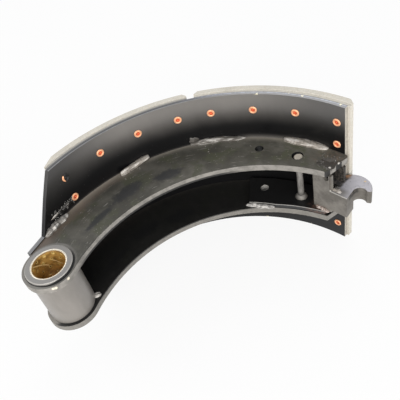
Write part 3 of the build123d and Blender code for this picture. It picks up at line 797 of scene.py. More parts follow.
@dataclass(frozen=True)
class CastSteel:
    """Shot-blasted cast steel: sandy grey skin, lilac grey on the hook's top, a dark brown in the pocket and
    high on the seat's wall that is partly sooty dirt and partly painted shade, and painted highlights on the
    pocket's edges.
    """

    skin: tuple = (0.112, 0.102, 0.089)
    pale: tuple = (0.20, 0.186, 0.165)
    top: tuple = (0.43, 0.42, 0.455)
    soot: tuple = (0.012, 0.011, 0.010)
    umber: tuple = (0.095, 0.083, 0.070)
    rust: tuple = (0.42, 0.225, 0.115)
    glint: tuple = (0.62, 0.43, 0.20)
    edge_highlight: tuple = (0.60, 0.58, 0.54)
    pit: tuple = (0.06, 0.055, 0.048)
    glint_at: tuple = (0.2926, 0.1561, 0.0085)
    rust_at: tuple = (0.2735, 0.1660, 0.0085)

    def material(self) -> bpy.types.Material:
        """Builds the finish."""
        make = Recipe("cast_steel", self.skin)
        sand = make.noise(420.0, 4.0, 0.65)
        cloud = make.noise(60.0, 4.0, 0.6)
        past, out = make.cam_end()
        make.lay(cloud.rise(0.38, 0.68), self.pale)
        low = make.z.frayed(14 * MM, cloud).rise(-6 * MM, -18 * MM)
        make.lay(low * 0.5, self.pale)
        ledge = make.facing(2).rise(0.5, 0.9) * make.z.size().rise(20 * MM, 19 * MM)
        bare = past.frayed(8 * MM, cloud).rise(25.0 * MM, 14.0 * MM) * out.rise(178 * MM, 171 * MM)
        make.lay(ledge * (0.72 + 0.4 * cloud).clip() * (1.0 - 0.75 * bare), self.top)
        # dark pocket above its floor at the cam end: sooty dirt and painted shade
        pocket = past.frayed(9 * MM, cloud).rise(8.5 * MM, 5.5 * MM) * out.rise(168 * MM, 168.6 * MM)
        pocket = pocket * make.z.rise(8.1 * MM, 8.4 * MM)
        gloom = make.mix(sand.rise(0.45, 0.62), self.soot, self.umber)
        make.lay(pocket * 0.93, gloom)
        # upper part of the seat's wall under the hook's top darkened: dirt and painted shade
        seat = make.facing(2).size().rise(0.5, 0.3) * past.rise(14 * MM, 17 * MM)
        seat = seat * out.rise(167.5 * MM, 170 * MM) * out.rise(186 * MM, 183 * MM)
        seat = seat * make.z.frayed(6 * MM, cloud).rise(-0.5 * MM, 3.0 * MM)
        make.lay(seat * 0.9, gloom)
        glint = make.from_point(*self.glint_at).frayed(1.0 * MM, sand).rise(1.5 * MM, 0.7 * MM)
        make.lay(glint * 0.8, self.glint)
        root = make.from_point(*self.rust_at).frayed(3 * MM, cloud).rise(7.0 * MM, 2.5 * MM)
        make.lay(root * 0.75, self.rust)
        # painted highlights: a pale line along the ledge's front edge and along the rim of the pocket wall's
        # end; the wall's end itself is painted dark umber as shade
        line = out.near(164.6 * MM, 0.75 * MM, 0.45 * MM) * make.z.rise(7.6 * MM, 8.2 * MM)
        line = line * past.rise(0.0, 2.5 * MM) * make.z.rise(10.5 * MM, 9.5 * MM)
        wall = past.near(1.5 * MM, 1.5 * MM, 0.9 * MM) * out.rise(169.2 * MM, 168.0 * MM)
        wall = wall * make.z.rise(9.0 * MM, 12.0 * MM)
        brink = past.near(0.4 * MM, 0.5 * MM, 0.2 * MM)
        make.lay(wall * 0.85, self.umber)
        make.lay((line + 0.25 * wall * brink).clip() * (0.3 + 0.8 * sand), self.edge_highlight)
        make.lay(sand.rise(0.58, 0.70) * 0.5, self.pit)
        rough = 0.42 + 0.3 * sand
        normal = make.bump(sand, 0.22 * MM, 0.7)
        return make.finish(Roughness=rough, Normal=normal, Metallic=0.15)


class Bead(Enum):
    """How a weld bead looks once it has cooled."""

    SILVER = (0.27, 0.255, 0.235)
    GREY = (0.135, 0.126, 0.113)
    BROWN = (0.36, 0.325, 0.285)
    PINK = (0.36, 0.275, 0.235)
    PLAIN = (0.40, 0.39, 0.375)
    BRIGHT = (0.62, 0.59, 0.55)
    SOOT = (0.016, 0.015, 0.014)
    SCALE = (0.060, 0.055, 0.048)


@dataclass(frozen=True)
class WeldMetal:
    """Weld metal with heat colours, slag in its valleys and bright crests, rubbed and with a painted highlight;
    the piece's own map counts ripples along the bead in its first number and runs across it in its second."""

    tone: Bead
    slag: tuple = (0.075, 0.062, 0.052)
    bright: tuple = (0.66, 0.635, 0.60)
    slot: str = "weld_steel"

    def material(self) -> bpy.types.Material:
        """Builds the finish."""
        make = Recipe(f"weld_{self.tone.name.lower()}", self.tone.value)
        along, across = make.own_map("bead")
        cloud = make.noise(240.0, 4.0, 0.65)
        lean = (across * math.pi).maths("SINE") * 0.45
        wave = ((along + lean + 0.7 * (cloud - 0.5)) * (2 * math.pi)).maths("SINE") * 0.5 + 0.5
        make.lay(wave.rise(0.3, 0.0) * cloud.rise(0.42, 0.6) * 0.55, self.slag)
        streak = make.drawn_noise(along * 0.32, across * 6.5, make.z * 40.0)
        # bright streaks on the crests: rubbed metal and a painted highlight
        rubbed = 0.10 if self.tone in (Bead.SOOT, Bead.SCALE) else 0.6
        make.lay(streak.rise(0.50, 0.60) * rubbed, self.bright)
        make.lay(streak.rise(0.46, 0.38) * 0.6, self.slag)
        make.lay(make.noise(160.0, 3.0, shift=(0.5, 0, 0)).rise(0.60, 0.72) * 0.5, self.slag)
        rough = 0.12 + 0.15 * cloud if self.tone is Bead.SOOT else 0.38 + 0.3 * cloud
        normal = make.bump(wave, 0.07 * MM, 0.5)
        normal = make.bump(streak, 0.30 * MM, 0.6, normal)
        normal = make.bump(make.noise(650.0, 4.0, 0.6), 0.06 * MM, 0.5, normal)
        return make.finish(Roughness=rough, Normal=normal, Metallic=0.3)


class Finishes:
    """Every material of the shoe, made once: those of whole nodes, and those of the pieces made here."""

    def __init__(self) -> None:
        """Builds all of them."""
        table, web, plate, pin, sleeve, lining, self.copper, self.bronze, casting = (
            finish().material() for finish in (TablePaint, WebPaint, PlatePaint, TurnedPin, SleevePaint,
                                               FrictionMaterial, Copper, Bronze, CastSteel))
        self.nodes = {"table": table, "upper_web": web, "lower_web": web, "lower_reinforcing_plate": plate,
                      "spring_pin": pin, "anchor_side_lining": lining, "cam_side_lining": lining,
                      "anchor_sleeve": sleeve, "cam_end_casting": casting}
        self.beads = {tone: WeldMetal(tone).material() for tone in Bead}


def dress(node: str, material: bpy.types.Material) -> None:
    """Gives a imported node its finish, in place of the plain one it came with."""
    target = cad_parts[node]
    for place in target.material_slots:
        place.material = material
    if not target.material_slots:
        target.data.materials.append(material)
    LOG.info("%s dressed in %s", node, material.name)


@dataclass
class PlateWork:
    """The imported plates, linings, sleeve, pin and casting, which keep their solids and get their finishes."""

    finishes: Finishes

    def build(self) -> None:
        """Dresses each node."""
        for node, material in self.finishes.nodes.items():
            dress(node, material)


@dataclass
class Rivets:
    """Tubular rivets, each one closed surface turned about its own axis: a rolled flare over the table, a
    tube and a dished head down in the lining."""

    finishes: Finishes
    pitch: float = 13.6
    first: float = 5.45
    middle: float = 18.0
    each_way: int = 4
    row: float = 74.6 * MM
    inner_row: float = 46.5 * MM
    shank: float = 3.2 * MM
    bore: float = 2.1 * MM
    bore_depth: float = 2.6 * MM
    half_painted: str = "rivet_anchor_4_1"
    flare: float = 4.4 * MM
    flare_rise: float = 1.1 * MM
    head: float = 5.6 * MM
    head_rise: float = 1.8 * MM
    head_seat: float = TABLE_OUTER + 4.6 * MM
    head_bevel: float = 0.3 * MM
    dish: float = 0.72
    dish_depth: float = 0.35
    turns: int = 36

    def profile(self) -> np.ndarray:
        """The outline from the bore's floor over the flare and down to the head, as (radius, height) rows.

        The height is counted from the flare's seat towards the drum's centre. The flare is half a turn of a
        small circle and the head's dish is a cosine.

        Returns:
            The outline's points, from axis to axis.
        """
        floor = self.flare_rise - self.bore_depth
        mouth = np.array([[0.0, floor], [self.bore * 0.7, floor], [self.bore, floor + 0.5 * MM],
                          [self.bore, self.flare_rise * 0.1]])
        roll = np.linspace(math.pi, -0.15 * math.pi, 14)
        centre, swing = (self.bore + self.flare) / 2, (self.flare - self.bore) / 2
        rise = np.maximum(self.flare_rise * 0.12 + self.flare_rise * 0.88 * np.sin(roll), 0.0)
        rolled = np.stack([centre + swing * np.cos(roll), rise], axis=1)
        seat = -(self.head_seat - math.sqrt(TABLE_INNER ** 2 - self.flare ** 2))
        shank = np.array([[self.shank, 0.0], [self.shank, seat], [self.head, seat],
                          [self.head, seat - self.head_rise * 0.8],
                          [self.head - self.head_bevel, seat - self.head_rise]])
        share = np.linspace(1.0, 0.0, 6)
        hollow = self.dish_depth * self.head_rise * (0.5 + 0.5 * np.cos(share * math.pi))
        dished = np.stack([share * self.head * self.dish, seat - self.head_rise + hollow], axis=1)
        return np.concatenate([mouth, rolled, shank, dished])

    def build(self) -> None:
        """Makes all the rivets in the order of their nodes."""
        for side, name in ((1, "anchor"), (-1, "cam")):
            for step in range(self.each_way):
                around = self.middle + side * (self.first + step * self.pitch)
                heights = [self.row, -self.row]
                if step == self.each_way - 1:
                    heights += [self.inner_row, -self.inner_row]
                for row, height in enumerate(heights, 1):
                    self.one(f"rivet_{name}_{step + 1}_{row}", around, height)

    def one(self, node: str, around: float, height: float) -> None:
        """Makes one rivet in place of its node.

        A point is the seat's centre, plus the profile's radius along the tangent and the drum's axis by the
        turn's cosine and sine, less the profile's height along the radius.

        Args:
            node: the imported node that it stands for.
            around: its angle around the drum.
            height: its place along the drum.
        """
        outline = self.profile()
        turn = np.linspace(0.0, 2 * math.pi, self.turns, endpoint=False)
        out, on = directions(around)
        seat = math.sqrt(TABLE_INNER ** 2 - self.flare ** 2)
        centre = DRUM_CENTRE + height * UP + out * seat
        spread = np.sin(turn)[None, :, None] * UP - np.cos(turn)[None, :, None] * on
        points = centre - outline[:, 1, None, None] * out + outline[:, 0, None, None] * spread
        faces = grid_faces(len(outline), self.turns, False, True)
        piece = make_piece(f"copper_{node}", points, faces, self.finishes.copper)
        rings = np.repeat(outline[:, 0] / self.flare, self.turns)
        run = (outline[:, 0, None] * np.cos(turn)[None, :]).ravel() / self.flare
        flared = np.repeat(outline[:, 1] > -3.0 * MM, self.turns)
        painted = flared * np.clip(1.6 + 2.4 * run, 0.0, 1.0) * (node == self.half_painted)
        write_map(piece, "ring", rings, painted)
        face_outwards(piece)
        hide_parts(node)
        LOG.info("%s stands for %s", piece.name, node)


@dataclass
class Bushes:
    """The two bronze bushes: rolled strip with staggered dimples and three oil grooves that climb in it."""

    finishes: Finishes
    outer: float = 18.5 * MM
    inner: float = 16.5 * MM
    near: float = 2.0 * MM
    far: float = 38.8 * MM
    chamfer: float = 0.8 * MM
    dimple: float = 1.9 * MM
    dimple_depth: float = 0.6 * MM
    dimple_rows: tuple = (8.0, 18.5, 28.0, 35.6)
    dimples_round: int = 11
    first_dimple: float = 21.0
    grooves: tuple = ((140.0, 22.4, 0.0, 55.0), (116.6, 25.8, -26.0, 3.0), (310.0, 22.0, 0.0, 60.0))
    groove_climb: float = 0.27
    groove_half: float = 0.95 * MM
    groove_depth: float = 0.3 * MM
    groove_end: float = 5.0
    edge_fade: float = 0.6 * MM
    lip_step: float = 0.7 * MM
    lip_width: float = 0.2 * MM
    columns: int = 320
    rows: int = 120

    def relief(self, turn: np.ndarray, height: np.ndarray) -> tuple[np.ndarray, np.ndarray]:
        """Dimples and grooves at each angle and height: bowls whose depth is one less the square of the
        distance, and a round groove along each helix, where height grows by a fixed step for each degree.

        Args:
            turn: angles about the bore, in degrees.
            height: heights along the bore, in metres.

        Returns:
            How much of a dimple's depth, and how much of a groove's, lies at each place.
        """
        bowls = np.zeros_like(turn)
        pitch = 360.0 / self.dimples_round
        for number, row in enumerate(self.dimple_rows):
            offset = (turn - self.first_dimple + (number % 2) * pitch / 2 + pitch / 2) % pitch - pitch / 2
            away = np.hypot(np.radians(offset) * self.inner, height - row * MM) / self.dimple
            bowls = np.maximum(bowls, np.clip(1 - away ** 2, 0, 1))
        cuts = np.zeros_like(turn)
        for start, base, low, high in self.grooves:
            swing = (turn - start + 90.0) % 360.0 - 90.0
            away = np.abs(height - base * MM - swing * self.groove_climb * MM)
            fade = np.clip(np.minimum(swing - low, high - swing) / self.groove_end + 1.0, 0.0, 1.0)
            cuts = np.maximum(cuts, fade * np.clip(1 - (away / self.groove_half) ** 2, 0, 1))
        return bowls, np.where(bowls > 0, 0.0, cuts)

    def one(self, node: str, side: int) -> None:
        """Makes one bush in place of its node, as a closed ring: bore, chamfers, ends and outside.

        Args:
            node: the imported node.
            side: 1 for the upper bush and -1 for the lower.
        """
        turn = np.linspace(0.0, 360.0, self.columns, endpoint=False)
        wall = np.linspace(self.near + self.chamfer, self.far - self.chamfer, self.rows)
        angles, heights = np.meshgrid(turn, wall)
        bowls, cuts = self.relief(angles, heights)
        fade = np.clip(np.minimum(heights - wall[0], wall[-1] - heights) / self.edge_fade, 0, 1)
        radius = self.inner + fade * (self.dimple_depth * bowls + self.groove_depth * cuts)
        shine, depth = cuts * fade, bowls * fade
        lip = self.inner + self.chamfer
        caps = np.array([(lip - self.lip_step, self.far - self.lip_step, -1.0), (lip, self.far, -1.0),
                         (lip + self.lip_width, self.far, 2.0), (self.outer, self.far, 2.0),
                         (self.outer, self.near, 0.0), (lip, self.near, 0.0)])
        ends = caps.T[:, :, None] * np.ones(self.columns)
        radius, heights, shine = (np.vstack(pair) for pair in zip((radius, heights, shine), ends))
        depth = np.vstack([depth, np.zeros_like(ends[0])])
        bend = np.radians(turn)
        points = np.stack([radius * np.cos(bend), radius * np.sin(bend), side * heights], axis=-1)
        faces = grid_faces(len(radius), self.columns, True, True)
        piece = make_piece(f"dimpled_{node}", points, faces, self.finishes.bronze)
        write_map(piece, "relief", shine, depth)
        face_outwards(piece)
        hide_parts(node)
        LOG.info("%s stands for %s", piece.name, node)

    def build(self) -> None:
        """Makes both bushes."""
        self.one("upper_bush", 1)
        self.one("lower_bush", -1)


@dataclass(frozen=True)
class BeadPath:
    """How one hand-laid bead runs: its two ends, its leg in metres, how it wanders and how rough it is."""

    node: str
    start: float
    span: float
    leg: float
    tone: Bead
    wander: float = 0.0
    lumps: float = 0.10
    ripples: int = 16
    seed: int = 1
    blunt: float = 0.22
    lean: float = 0.0
    climb: float = 0.0


@dataclass
class HandLaidBead:
    """One bead as a closed surface, carried along a corner between two faces."""

    path: BeadPath
    stations: int = 130
    section: int = 22
    sunk: float = 0.05 * MM
    ripple_lean: float = 0.45
    ripple_height: float = 0.018
    fullness: float = 0.16
    squareness: float = 1.1

    def build(self, name: str, corner: np.ndarray, first: np.ndarray, second: np.ndarray,
              finishes: Finishes) -> bpy.types.Object:
        """Makes the bead. Its section is a corner and a bulged arc from the first face to the second.

        The arc's reach is the leg times a taper at the ends (a low power of a sine), times one plus slow
        lumps (a sum of sines along and across) plus ripples that lean back like a row of coins. The wander
        shifts that reach from the first face to the second along the run, and the climb moves the whole bead
        from the second face to the first by the cosine of half a turn.

        Args:
            name: the new piece's name.
            corner: where the two faces meet at each station, in metres.
            first: direction in the first face away from the corner, at each station.
            second: direction in the second face away from the corner.
            finishes: the materials.

        Returns:
            The piece.
        """
        path = self.path
        chance = np.random.default_rng(path.seed)
        run = np.linspace(0.0, 1.0, self.stations)
        along, across = np.meshgrid(run, np.linspace(0.0, 1.0, self.section), indexing="ij")
        taper = np.clip(np.sin(along * math.pi), 0.0, 1.0) ** path.blunt
        phases = chance.uniform(0, 2 * math.pi, 5)
        lumps = sum(np.sin(2 * math.pi * (1.3 + 1.9 * k) * along + phases[k] + 2.5 * across) / (k + 1.5)
                    for k in range(4))
        lean = along * path.ripples + self.ripple_lean * np.sin(across * math.pi)
        ripple = np.abs(np.sin(math.pi * lean)) ** 0.7 - 0.6
        swell = np.clip(taper * (1.0 + path.lumps * lumps + self.ripple_height * ripple), 0.02, None)
        drift = path.lean + path.wander * np.sin((along - 0.5) * math.pi)
        bend = across * math.pi / 2
        full = 1.0 - self.fullness + self.fullness * np.sin(2 * bend)
        root = np.full((self.stations, 1), -self.sunk)
        reaches = []
        for shift, arc, foot in ((-drift, np.cos(bend), 1.0), (drift, np.sin(bend), 0.0)):
            reach = path.leg * swell * (1.0 + shift) * arc ** self.squareness * full
            reach = np.where(across == foot, -self.sunk, reach)
            reaches.append(np.concatenate([reach, root], axis=1)[:, :, None])
        climb = path.climb * np.cos(run * math.pi)[:, None]
        corner = corner + np.maximum(climb, 0.0) * second + np.maximum(-climb, 0.0) * first
        points = corner[:, None] + reaches[0] * first[:, None] + reaches[1] * second[:, None]
        columns = self.section + 1
        faces = grid_faces(self.stations, columns, False, True).tolist()
        faces += [list(range(columns)), list(range((self.stations - 1) * columns, self.stations * columns))]
        piece = make_piece(name, points, faces, finishes.beads[path.tone])
        count = np.repeat(run * path.ripples, columns)
        write_map(piece, "bead", count, np.tile(np.linspace(0.0, 1.0, columns), self.stations))
        face_outwards(piece)
        return piece


@dataclass
class Welds:
    """Every bead of the shoe: along the webs and at the plate, the casting, the sleeve and the pin."""

    finishes: Finishes
    tangent: float = 76.13
    plate_foot: float = 151.5 * MM
    casting_front: float = 164.5 * MM
    sleeve: float = 24.5 * MM
    along_webs: tuple = (
        BeadPath("web_weld_1", 69.3, 10.6, 6.4 * MM, Bead.SILVER, 0.16, 0.20, 9, 3, 0.35, -0.1),
        BeadPath("web_weld_2", 36.0, 11.4, 6.0 * MM, Bead.BROWN, 0.30, 0.05, 12, 7, 0.16, -0.05, 4.2 * MM),
        BeadPath("web_weld_3", 2.6, 19.0, 5.8 * MM, Bead.GREY, 0.16, 0.10, 20, 11, 0.30, -0.1),
        BeadPath("web_weld_4", -25.4, 15.2, 7.0 * MM, Bead.BROWN, 0.06, 0.05, 14, 19, 0.24, -0.22),
    )
    at_plate: BeadPath = BeadPath("plate_weld", -9.2, 13.0, 4.6 * MM, Bead.PLAIN, 0.10, 0.14, 15, 23, 0.3)
    at_casting: BeadPath = BeadPath("casting_weld", -17.0, 17.6, 3.7 * MM, Bead.PINK, -0.12, 0.14, 12, 29)
    at_sleeve: tuple = (
        BeadPath("upper_sleeve_tack", -74.0, 24.0, 2.7 * MM, Bead.BRIGHT, 0.1, 0.2, 5, 31, 0.3),
        BeadPath("lower_sleeve_tack", 21.0, 15.0, 4.9 * MM, Bead.BRIGHT, 0.0, 0.10, 4, 37, 0.3, -0.52))

    def along_table(self, run: np.ndarray) -> tuple[np.ndarray, np.ndarray]:
        """Corners between the table and a web's outer side, and the direction from each towards the drum's
        centre. Past the tangent point the table runs on straight, so the rest of the angle is a length there.

        Args:
            run: angles around the drum, in degrees.

        Returns:
            The corners at mid-width and the directions.
        """
        bent = np.minimum(run, self.tangent)
        out, on = directions(bent)
        rest = np.radians(run - bent)[:, None] * TABLE_INNER
        return DRUM_CENTRE + TABLE_INNER * out + rest * on, -out

    def lay(self, path: BeadPath, node: str, corner: np.ndarray, first: np.ndarray,
            second: np.ndarray) -> None:
        """Lays one bead in place of its node.

        Args:
            path: how it runs.
            node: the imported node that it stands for.
            corner: where its two faces meet at each station.
            first: direction in the first face away from the corner.
            second: direction in the second face away from the corner.
        """
        piece = HandLaidBead(path).build(f"laid_{node}", corner, first, second, self.finishes)
        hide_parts(node)
        LOG.info("%s stands for %s", piece.name, node)

    def build(self) -> None:
        """Lays all the beads and dresses the one round the pin."""
        share = np.linspace(0.0, 1.0, HandLaidBead.stations)
        up = np.tile(UP, (HandLaidBead.stations, 1))
        for prefix, side in (("upper", 1), ("lower", -1)):
            for path in self.along_webs:
                corner, inward = self.along_table(path.start + path.span * share)
                corner = corner + side * WEB_OUTER_FACE * up
                self.lay(path, f"{prefix}_{path.node}", corner, inward, side * up)
        path = self.at_plate
        out, _ = directions(path.start + path.span * share)
        self.lay(path, path.node, DRUM_CENTRE + self.plate_foot * out - WEB_INNER_FACE * up, -out, up)
        path = self.at_casting
        out, on = directions(np.full_like(share, CAM_AROUND))
        past = (path.start + path.span * share)[:, None] * MM
        corner = DRUM_CENTRE + self.casting_front * out - past * on + PLATE_TOP * up
        self.lay(path, path.node, corner, -out, up)
        for path, side in zip(self.at_sleeve, (1, -1)):
            _, on = directions(path.start + path.span * share)
            self.lay(path, path.node, side * WEB_INNER_FACE * up - self.sleeve * on, -on, -side * up)
        dress("pin_weld", self.finishes.beads[Bead.GREY])


class Carrier(Enum):
    """What a drop or a lump lies on, and what its two numbers mean there."""

    TABLE = "table's inner face: angle around, height"
    WEB = "upper web's outer face: angle around, distance from the drum's axis"
    NOSE = "casting's upper ledge: distance past the cam end in millimetres, distance out"


@dataclass(frozen=True)
class Patch:
    """Where drops or a lump lie: their middle and two half lengths, in their carrier's numbers."""

    name: str
    carrier: Carrier
    around: float
    place: float
    half_around: float
    half_place: float


@dataclass(frozen=True)
class Splash(Patch):
    """A field of small frozen drops: how many there are and how big."""

    count: int
    size: float
    tone: Bead
    seed: int


@dataclass(frozen=True)
class Crust(Patch):
    """A lump of slag or weld with a ragged outline: its turn, its height and how rough its top is."""

    turn: float
    height: float
    tone: Bead
    seed: int
    sharp: float = 0.6


@dataclass
class Spatter:
    """Frozen drops and slag on the upper web's face, the table's inner face and the casting's ledge."""

    finishes: Finishes
    splashes: tuple = (
        Splash("drops_by_weld_1", Carrier.TABLE, 69.6, 46.0 * MM, 4.6, 5.0 * MM, 40, 1.0 * MM, Bead.SOOT, 5),
        Splash("bright_drops_by_weld_1", Carrier.TABLE, 69.6, 46.0 * MM, 4.4, 5.0 * MM, 15, 0.42 * MM,
               Bead.SILVER, 6),
        Splash("drops_on_web_end", Carrier.WEB, -29.0, 175.5 * MM, 2.6, 8.0 * MM, 22, 0.42 * MM,
               Bead.BRIGHT, 8),
        Splash("dull_drops_on_web_end", Carrier.WEB, -28.4, 177.0 * MM, 3.4, 11.0 * MM, 34, 0.75 * MM,
               Bead.SCALE, 21),
        Splash("drops_by_weld_3", Carrier.WEB, 9.0, 183.0 * MM, 9.0, 7.0 * MM, 12, 0.36 * MM, Bead.GREY, 9),
        Splash("drops_by_weld_2", Carrier.WEB, 44.0, 184.0 * MM, 4.5, 5.0 * MM, 9, 0.36 * MM, Bead.GREY, 10),
    )
    crusts: tuple = (
        Crust("slag_by_weld_1", Carrier.TABLE, 68.2, 45.4 * MM, 3.6, 2.6 * MM, 0.5, 1.5 * MM, Bead.SOOT, 12,
              1.3),
        Crust("tail_of_weld_1", Carrier.TABLE, 73.6, 46.6 * MM, 1.7, 1.1 * MM, 0.9, 0.9 * MM, Bead.BROWN, 13),
        Crust("slag_by_weld_3", Carrier.TABLE, 20.2, 41.0 * MM, 1.7, 6.0 * MM, 0.0, 1.6 * MM, Bead.SCALE, 15),
        Crust("burr_on_web_end", Carrier.WEB, -29.0, 176.0 * MM, 2.9, 9.0 * MM, 0.15, 0.55 * MM,
              Bead.SCALE, 16),
        Crust("second_burr_on_web_end", Carrier.WEB, -27.0, 171.0 * MM, 1.8, 4.0 * MM, 0.6, 0.5 * MM,
              Bead.SCALE, 22),
        Crust("bright_burr_on_web_end", Carrier.WEB, -31.7, 179.6 * MM, 0.35, 1.5 * MM, 0.2, 1.1 * MM,
              Bead.BRIGHT, 17),
        Crust("edge_burr_on_web_end", Carrier.WEB, -30.6, 169.4 * MM, 0.42, 1.3 * MM, 0.4, 1.2 * MM,
              Bead.BRIGHT, 18),
        Crust("lump_in_pocket", Carrier.NOSE, 7.2, 169.4 * MM, 6.2, 2.6 * MM, 0.1, 1.9 * MM, Bead.BROWN, 23),
        Crust("dark_lump_in_pocket", Carrier.NOSE, 2.0, 174.0 * MM, 3.4, 2.6 * MM, 0.5, 1.2 * MM,
              Bead.SOOT, 24),
    )
    rings: int = 14
    spokes: int = 40
    drop_from_web: float = 0.8 * MM
    crust_from_web: float = 0.2 * MM
    drop_flatness: float = 0.7
    drop_latitudes: int = 6
    drop_longitudes: int = 8
    crust_proud: float = 0.02 * MM
    crust_sunk: float = 0.15 * MM

    def frame_at(self, carrier: Carrier, around: np.ndarray, place: np.ndarray) -> tuple[np.ndarray, ...]:
        """Places and directions on the carrier: along the arc, across it and out of the face.

        Args:
            carrier: what they lie on.
            around: the first number of each place.
            place: the second number.

        Returns:
            The places, then three unit directions.
        """
        out, along = directions(np.full_like(around, CAM_AROUND) if carrier is Carrier.NOSE else around)
        up = np.zeros_like(out) + UP
        if carrier is Carrier.TABLE:
            return DRUM_CENTRE + TABLE_INNER * out + place[..., None] * up, along, up, -out
        spot = DRUM_CENTRE + place[..., None] * out
        if carrier is Carrier.NOSE:
            return spot - MM * around[..., None] * along + POCKET_FLOOR * up, along, out, up
        return spot + WEB_OUTER_FACE * up, along, out, up

    def splash(self, drops: Splash) -> None:
        """Makes a field of drops: each is an ellipsoid half sunk in its carrier, with a few dozen faces.

        A drop's point is its middle plus its length times the cosines of latitude and longitude along the
        arc, its width times the cosine of latitude and the sine of longitude across, and its height times
        the sine of latitude outwards.

        Args:
            drops: the field.
        """
        chance = np.random.default_rng(drops.seed)
        around = drops.around + drops.half_around * chance.uniform(-1, 1, drops.count)
        place = drops.place + drops.half_place * chance.uniform(-1, 1, drops.count)
        if drops.carrier is Carrier.TABLE:
            place = np.maximum(place, WEB_OUTER_FACE + self.drop_from_web)
        middle, along, across, outwards = self.frame_at(drops.carrier, around, place)
        size = drops.size * chance.uniform(0.5, 1.5, (drops.count, 3))
        size = size * np.array([1.0, 1.0, self.drop_flatness])
        latitude = np.linspace(-math.pi / 2, math.pi / 2, self.drop_latitudes)[:, None]
        longitude = np.linspace(0.0, 2 * math.pi, self.drop_longitudes, endpoint=False)[None, :]
        shape = np.stack([np.cos(latitude) * np.cos(longitude), np.cos(latitude) * np.sin(longitude),
                          np.sin(latitude) * np.ones_like(longitude)], axis=-1)
        scaled = shape[None] * size[:, None, None, :]
        points = (middle[:, None, None] + scaled[..., :1] * along[:, None, None]
                  + scaled[..., 1:2] * across[:, None, None] + scaled[..., 2:] * outwards[:, None, None])
        corners = latitude.size * longitude.size
        one = grid_faces(latitude.size, longitude.size, False, True)
        faces = (one[None] + corners * np.arange(drops.count)[:, None, None]).reshape(-1, 4)
        self.put(drops, points, faces, np.zeros(corners * drops.count))

    def put(self, patch: Splash | Crust, points: np.ndarray, faces: np.ndarray, ripples: np.ndarray) -> None:
        """Makes the piece of a field of drops or of a lump.

        Args:
            patch: the field or the lump.
            points: places of its corners, in metres.
            faces: rows of point numbers.
            ripples: for each point, how many of a bead's ripples it lies along.
        """
        piece = make_piece(patch.name, points, faces, self.finishes.beads[patch.tone])
        write_map(piece, "bead", ripples, np.full(ripples.size, 0.5))
        face_outwards(piece)
        LOG.info("%s lies on the %s", piece.name, patch.carrier.name.lower())

    def crust(self, lump: Crust) -> None:
        """Makes one lump: rings of points whose outline is one plus a few sines of the angle, and whose
        height is the root of one less the squared share of the radius, roughened by crossed sines.

        Args:
            lump: the lump.
        """
        chance = np.random.default_rng(lump.seed)
        share, turn = np.meshgrid(np.linspace(0.0, 1.0, self.rings),
                                  np.linspace(0.0, 2 * math.pi, self.spokes, endpoint=False), indexing="ij")
        phase = chance.uniform(0, 2 * math.pi, 8)
        outline = 1 + sum(0.16 / (1 + 0.5 * k) * np.sin((2 * k + 1) * turn + phase[k]) for k in range(4))
        first = share * outline * np.cos(turn)
        second = share * outline * np.sin(turn)
        swing = math.cos(lump.turn), math.sin(lump.turn)
        around = lump.around + lump.half_around * (first * swing[0] - second * swing[1])
        place = lump.place + lump.half_place * (first * swing[1] + second * swing[0])
        rough = sum(np.sin((4.1 + 3.3 * k) * first + (3.2 - 4.1 * k) * second + phase[4 + k]) / (1 + 0.4 * k)
                    for k in range(4)) / 2.6
        dome = np.sqrt(np.clip(1 - share ** 2, 0, 1))
        height = lump.height * dome * (1 - lump.sharp / 2 + lump.sharp / 2 * rough)
        if lump.carrier is Carrier.TABLE:
            place = np.maximum(place, WEB_OUTER_FACE + self.crust_from_web)
        middle, _, _, outwards = self.frame_at(lump.carrier, around, place)
        top = middle + (height[..., None] + self.crust_proud) * outwards
        under = middle[::-1] - self.crust_sunk * outwards[::-1]
        points = np.concatenate([top, under])
        faces = grid_faces(2 * self.rings, self.spokes, False, True)
        self.put(lump, points, faces, np.tile(np.linspace(0, 3, self.spokes), 2 * self.rings))

    def build(self) -> None:
        """Makes every field of drops and every lump."""
        for drops in self.splashes:
            self.splash(drops)
        for lump in self.crusts:
            self.crust(lump)


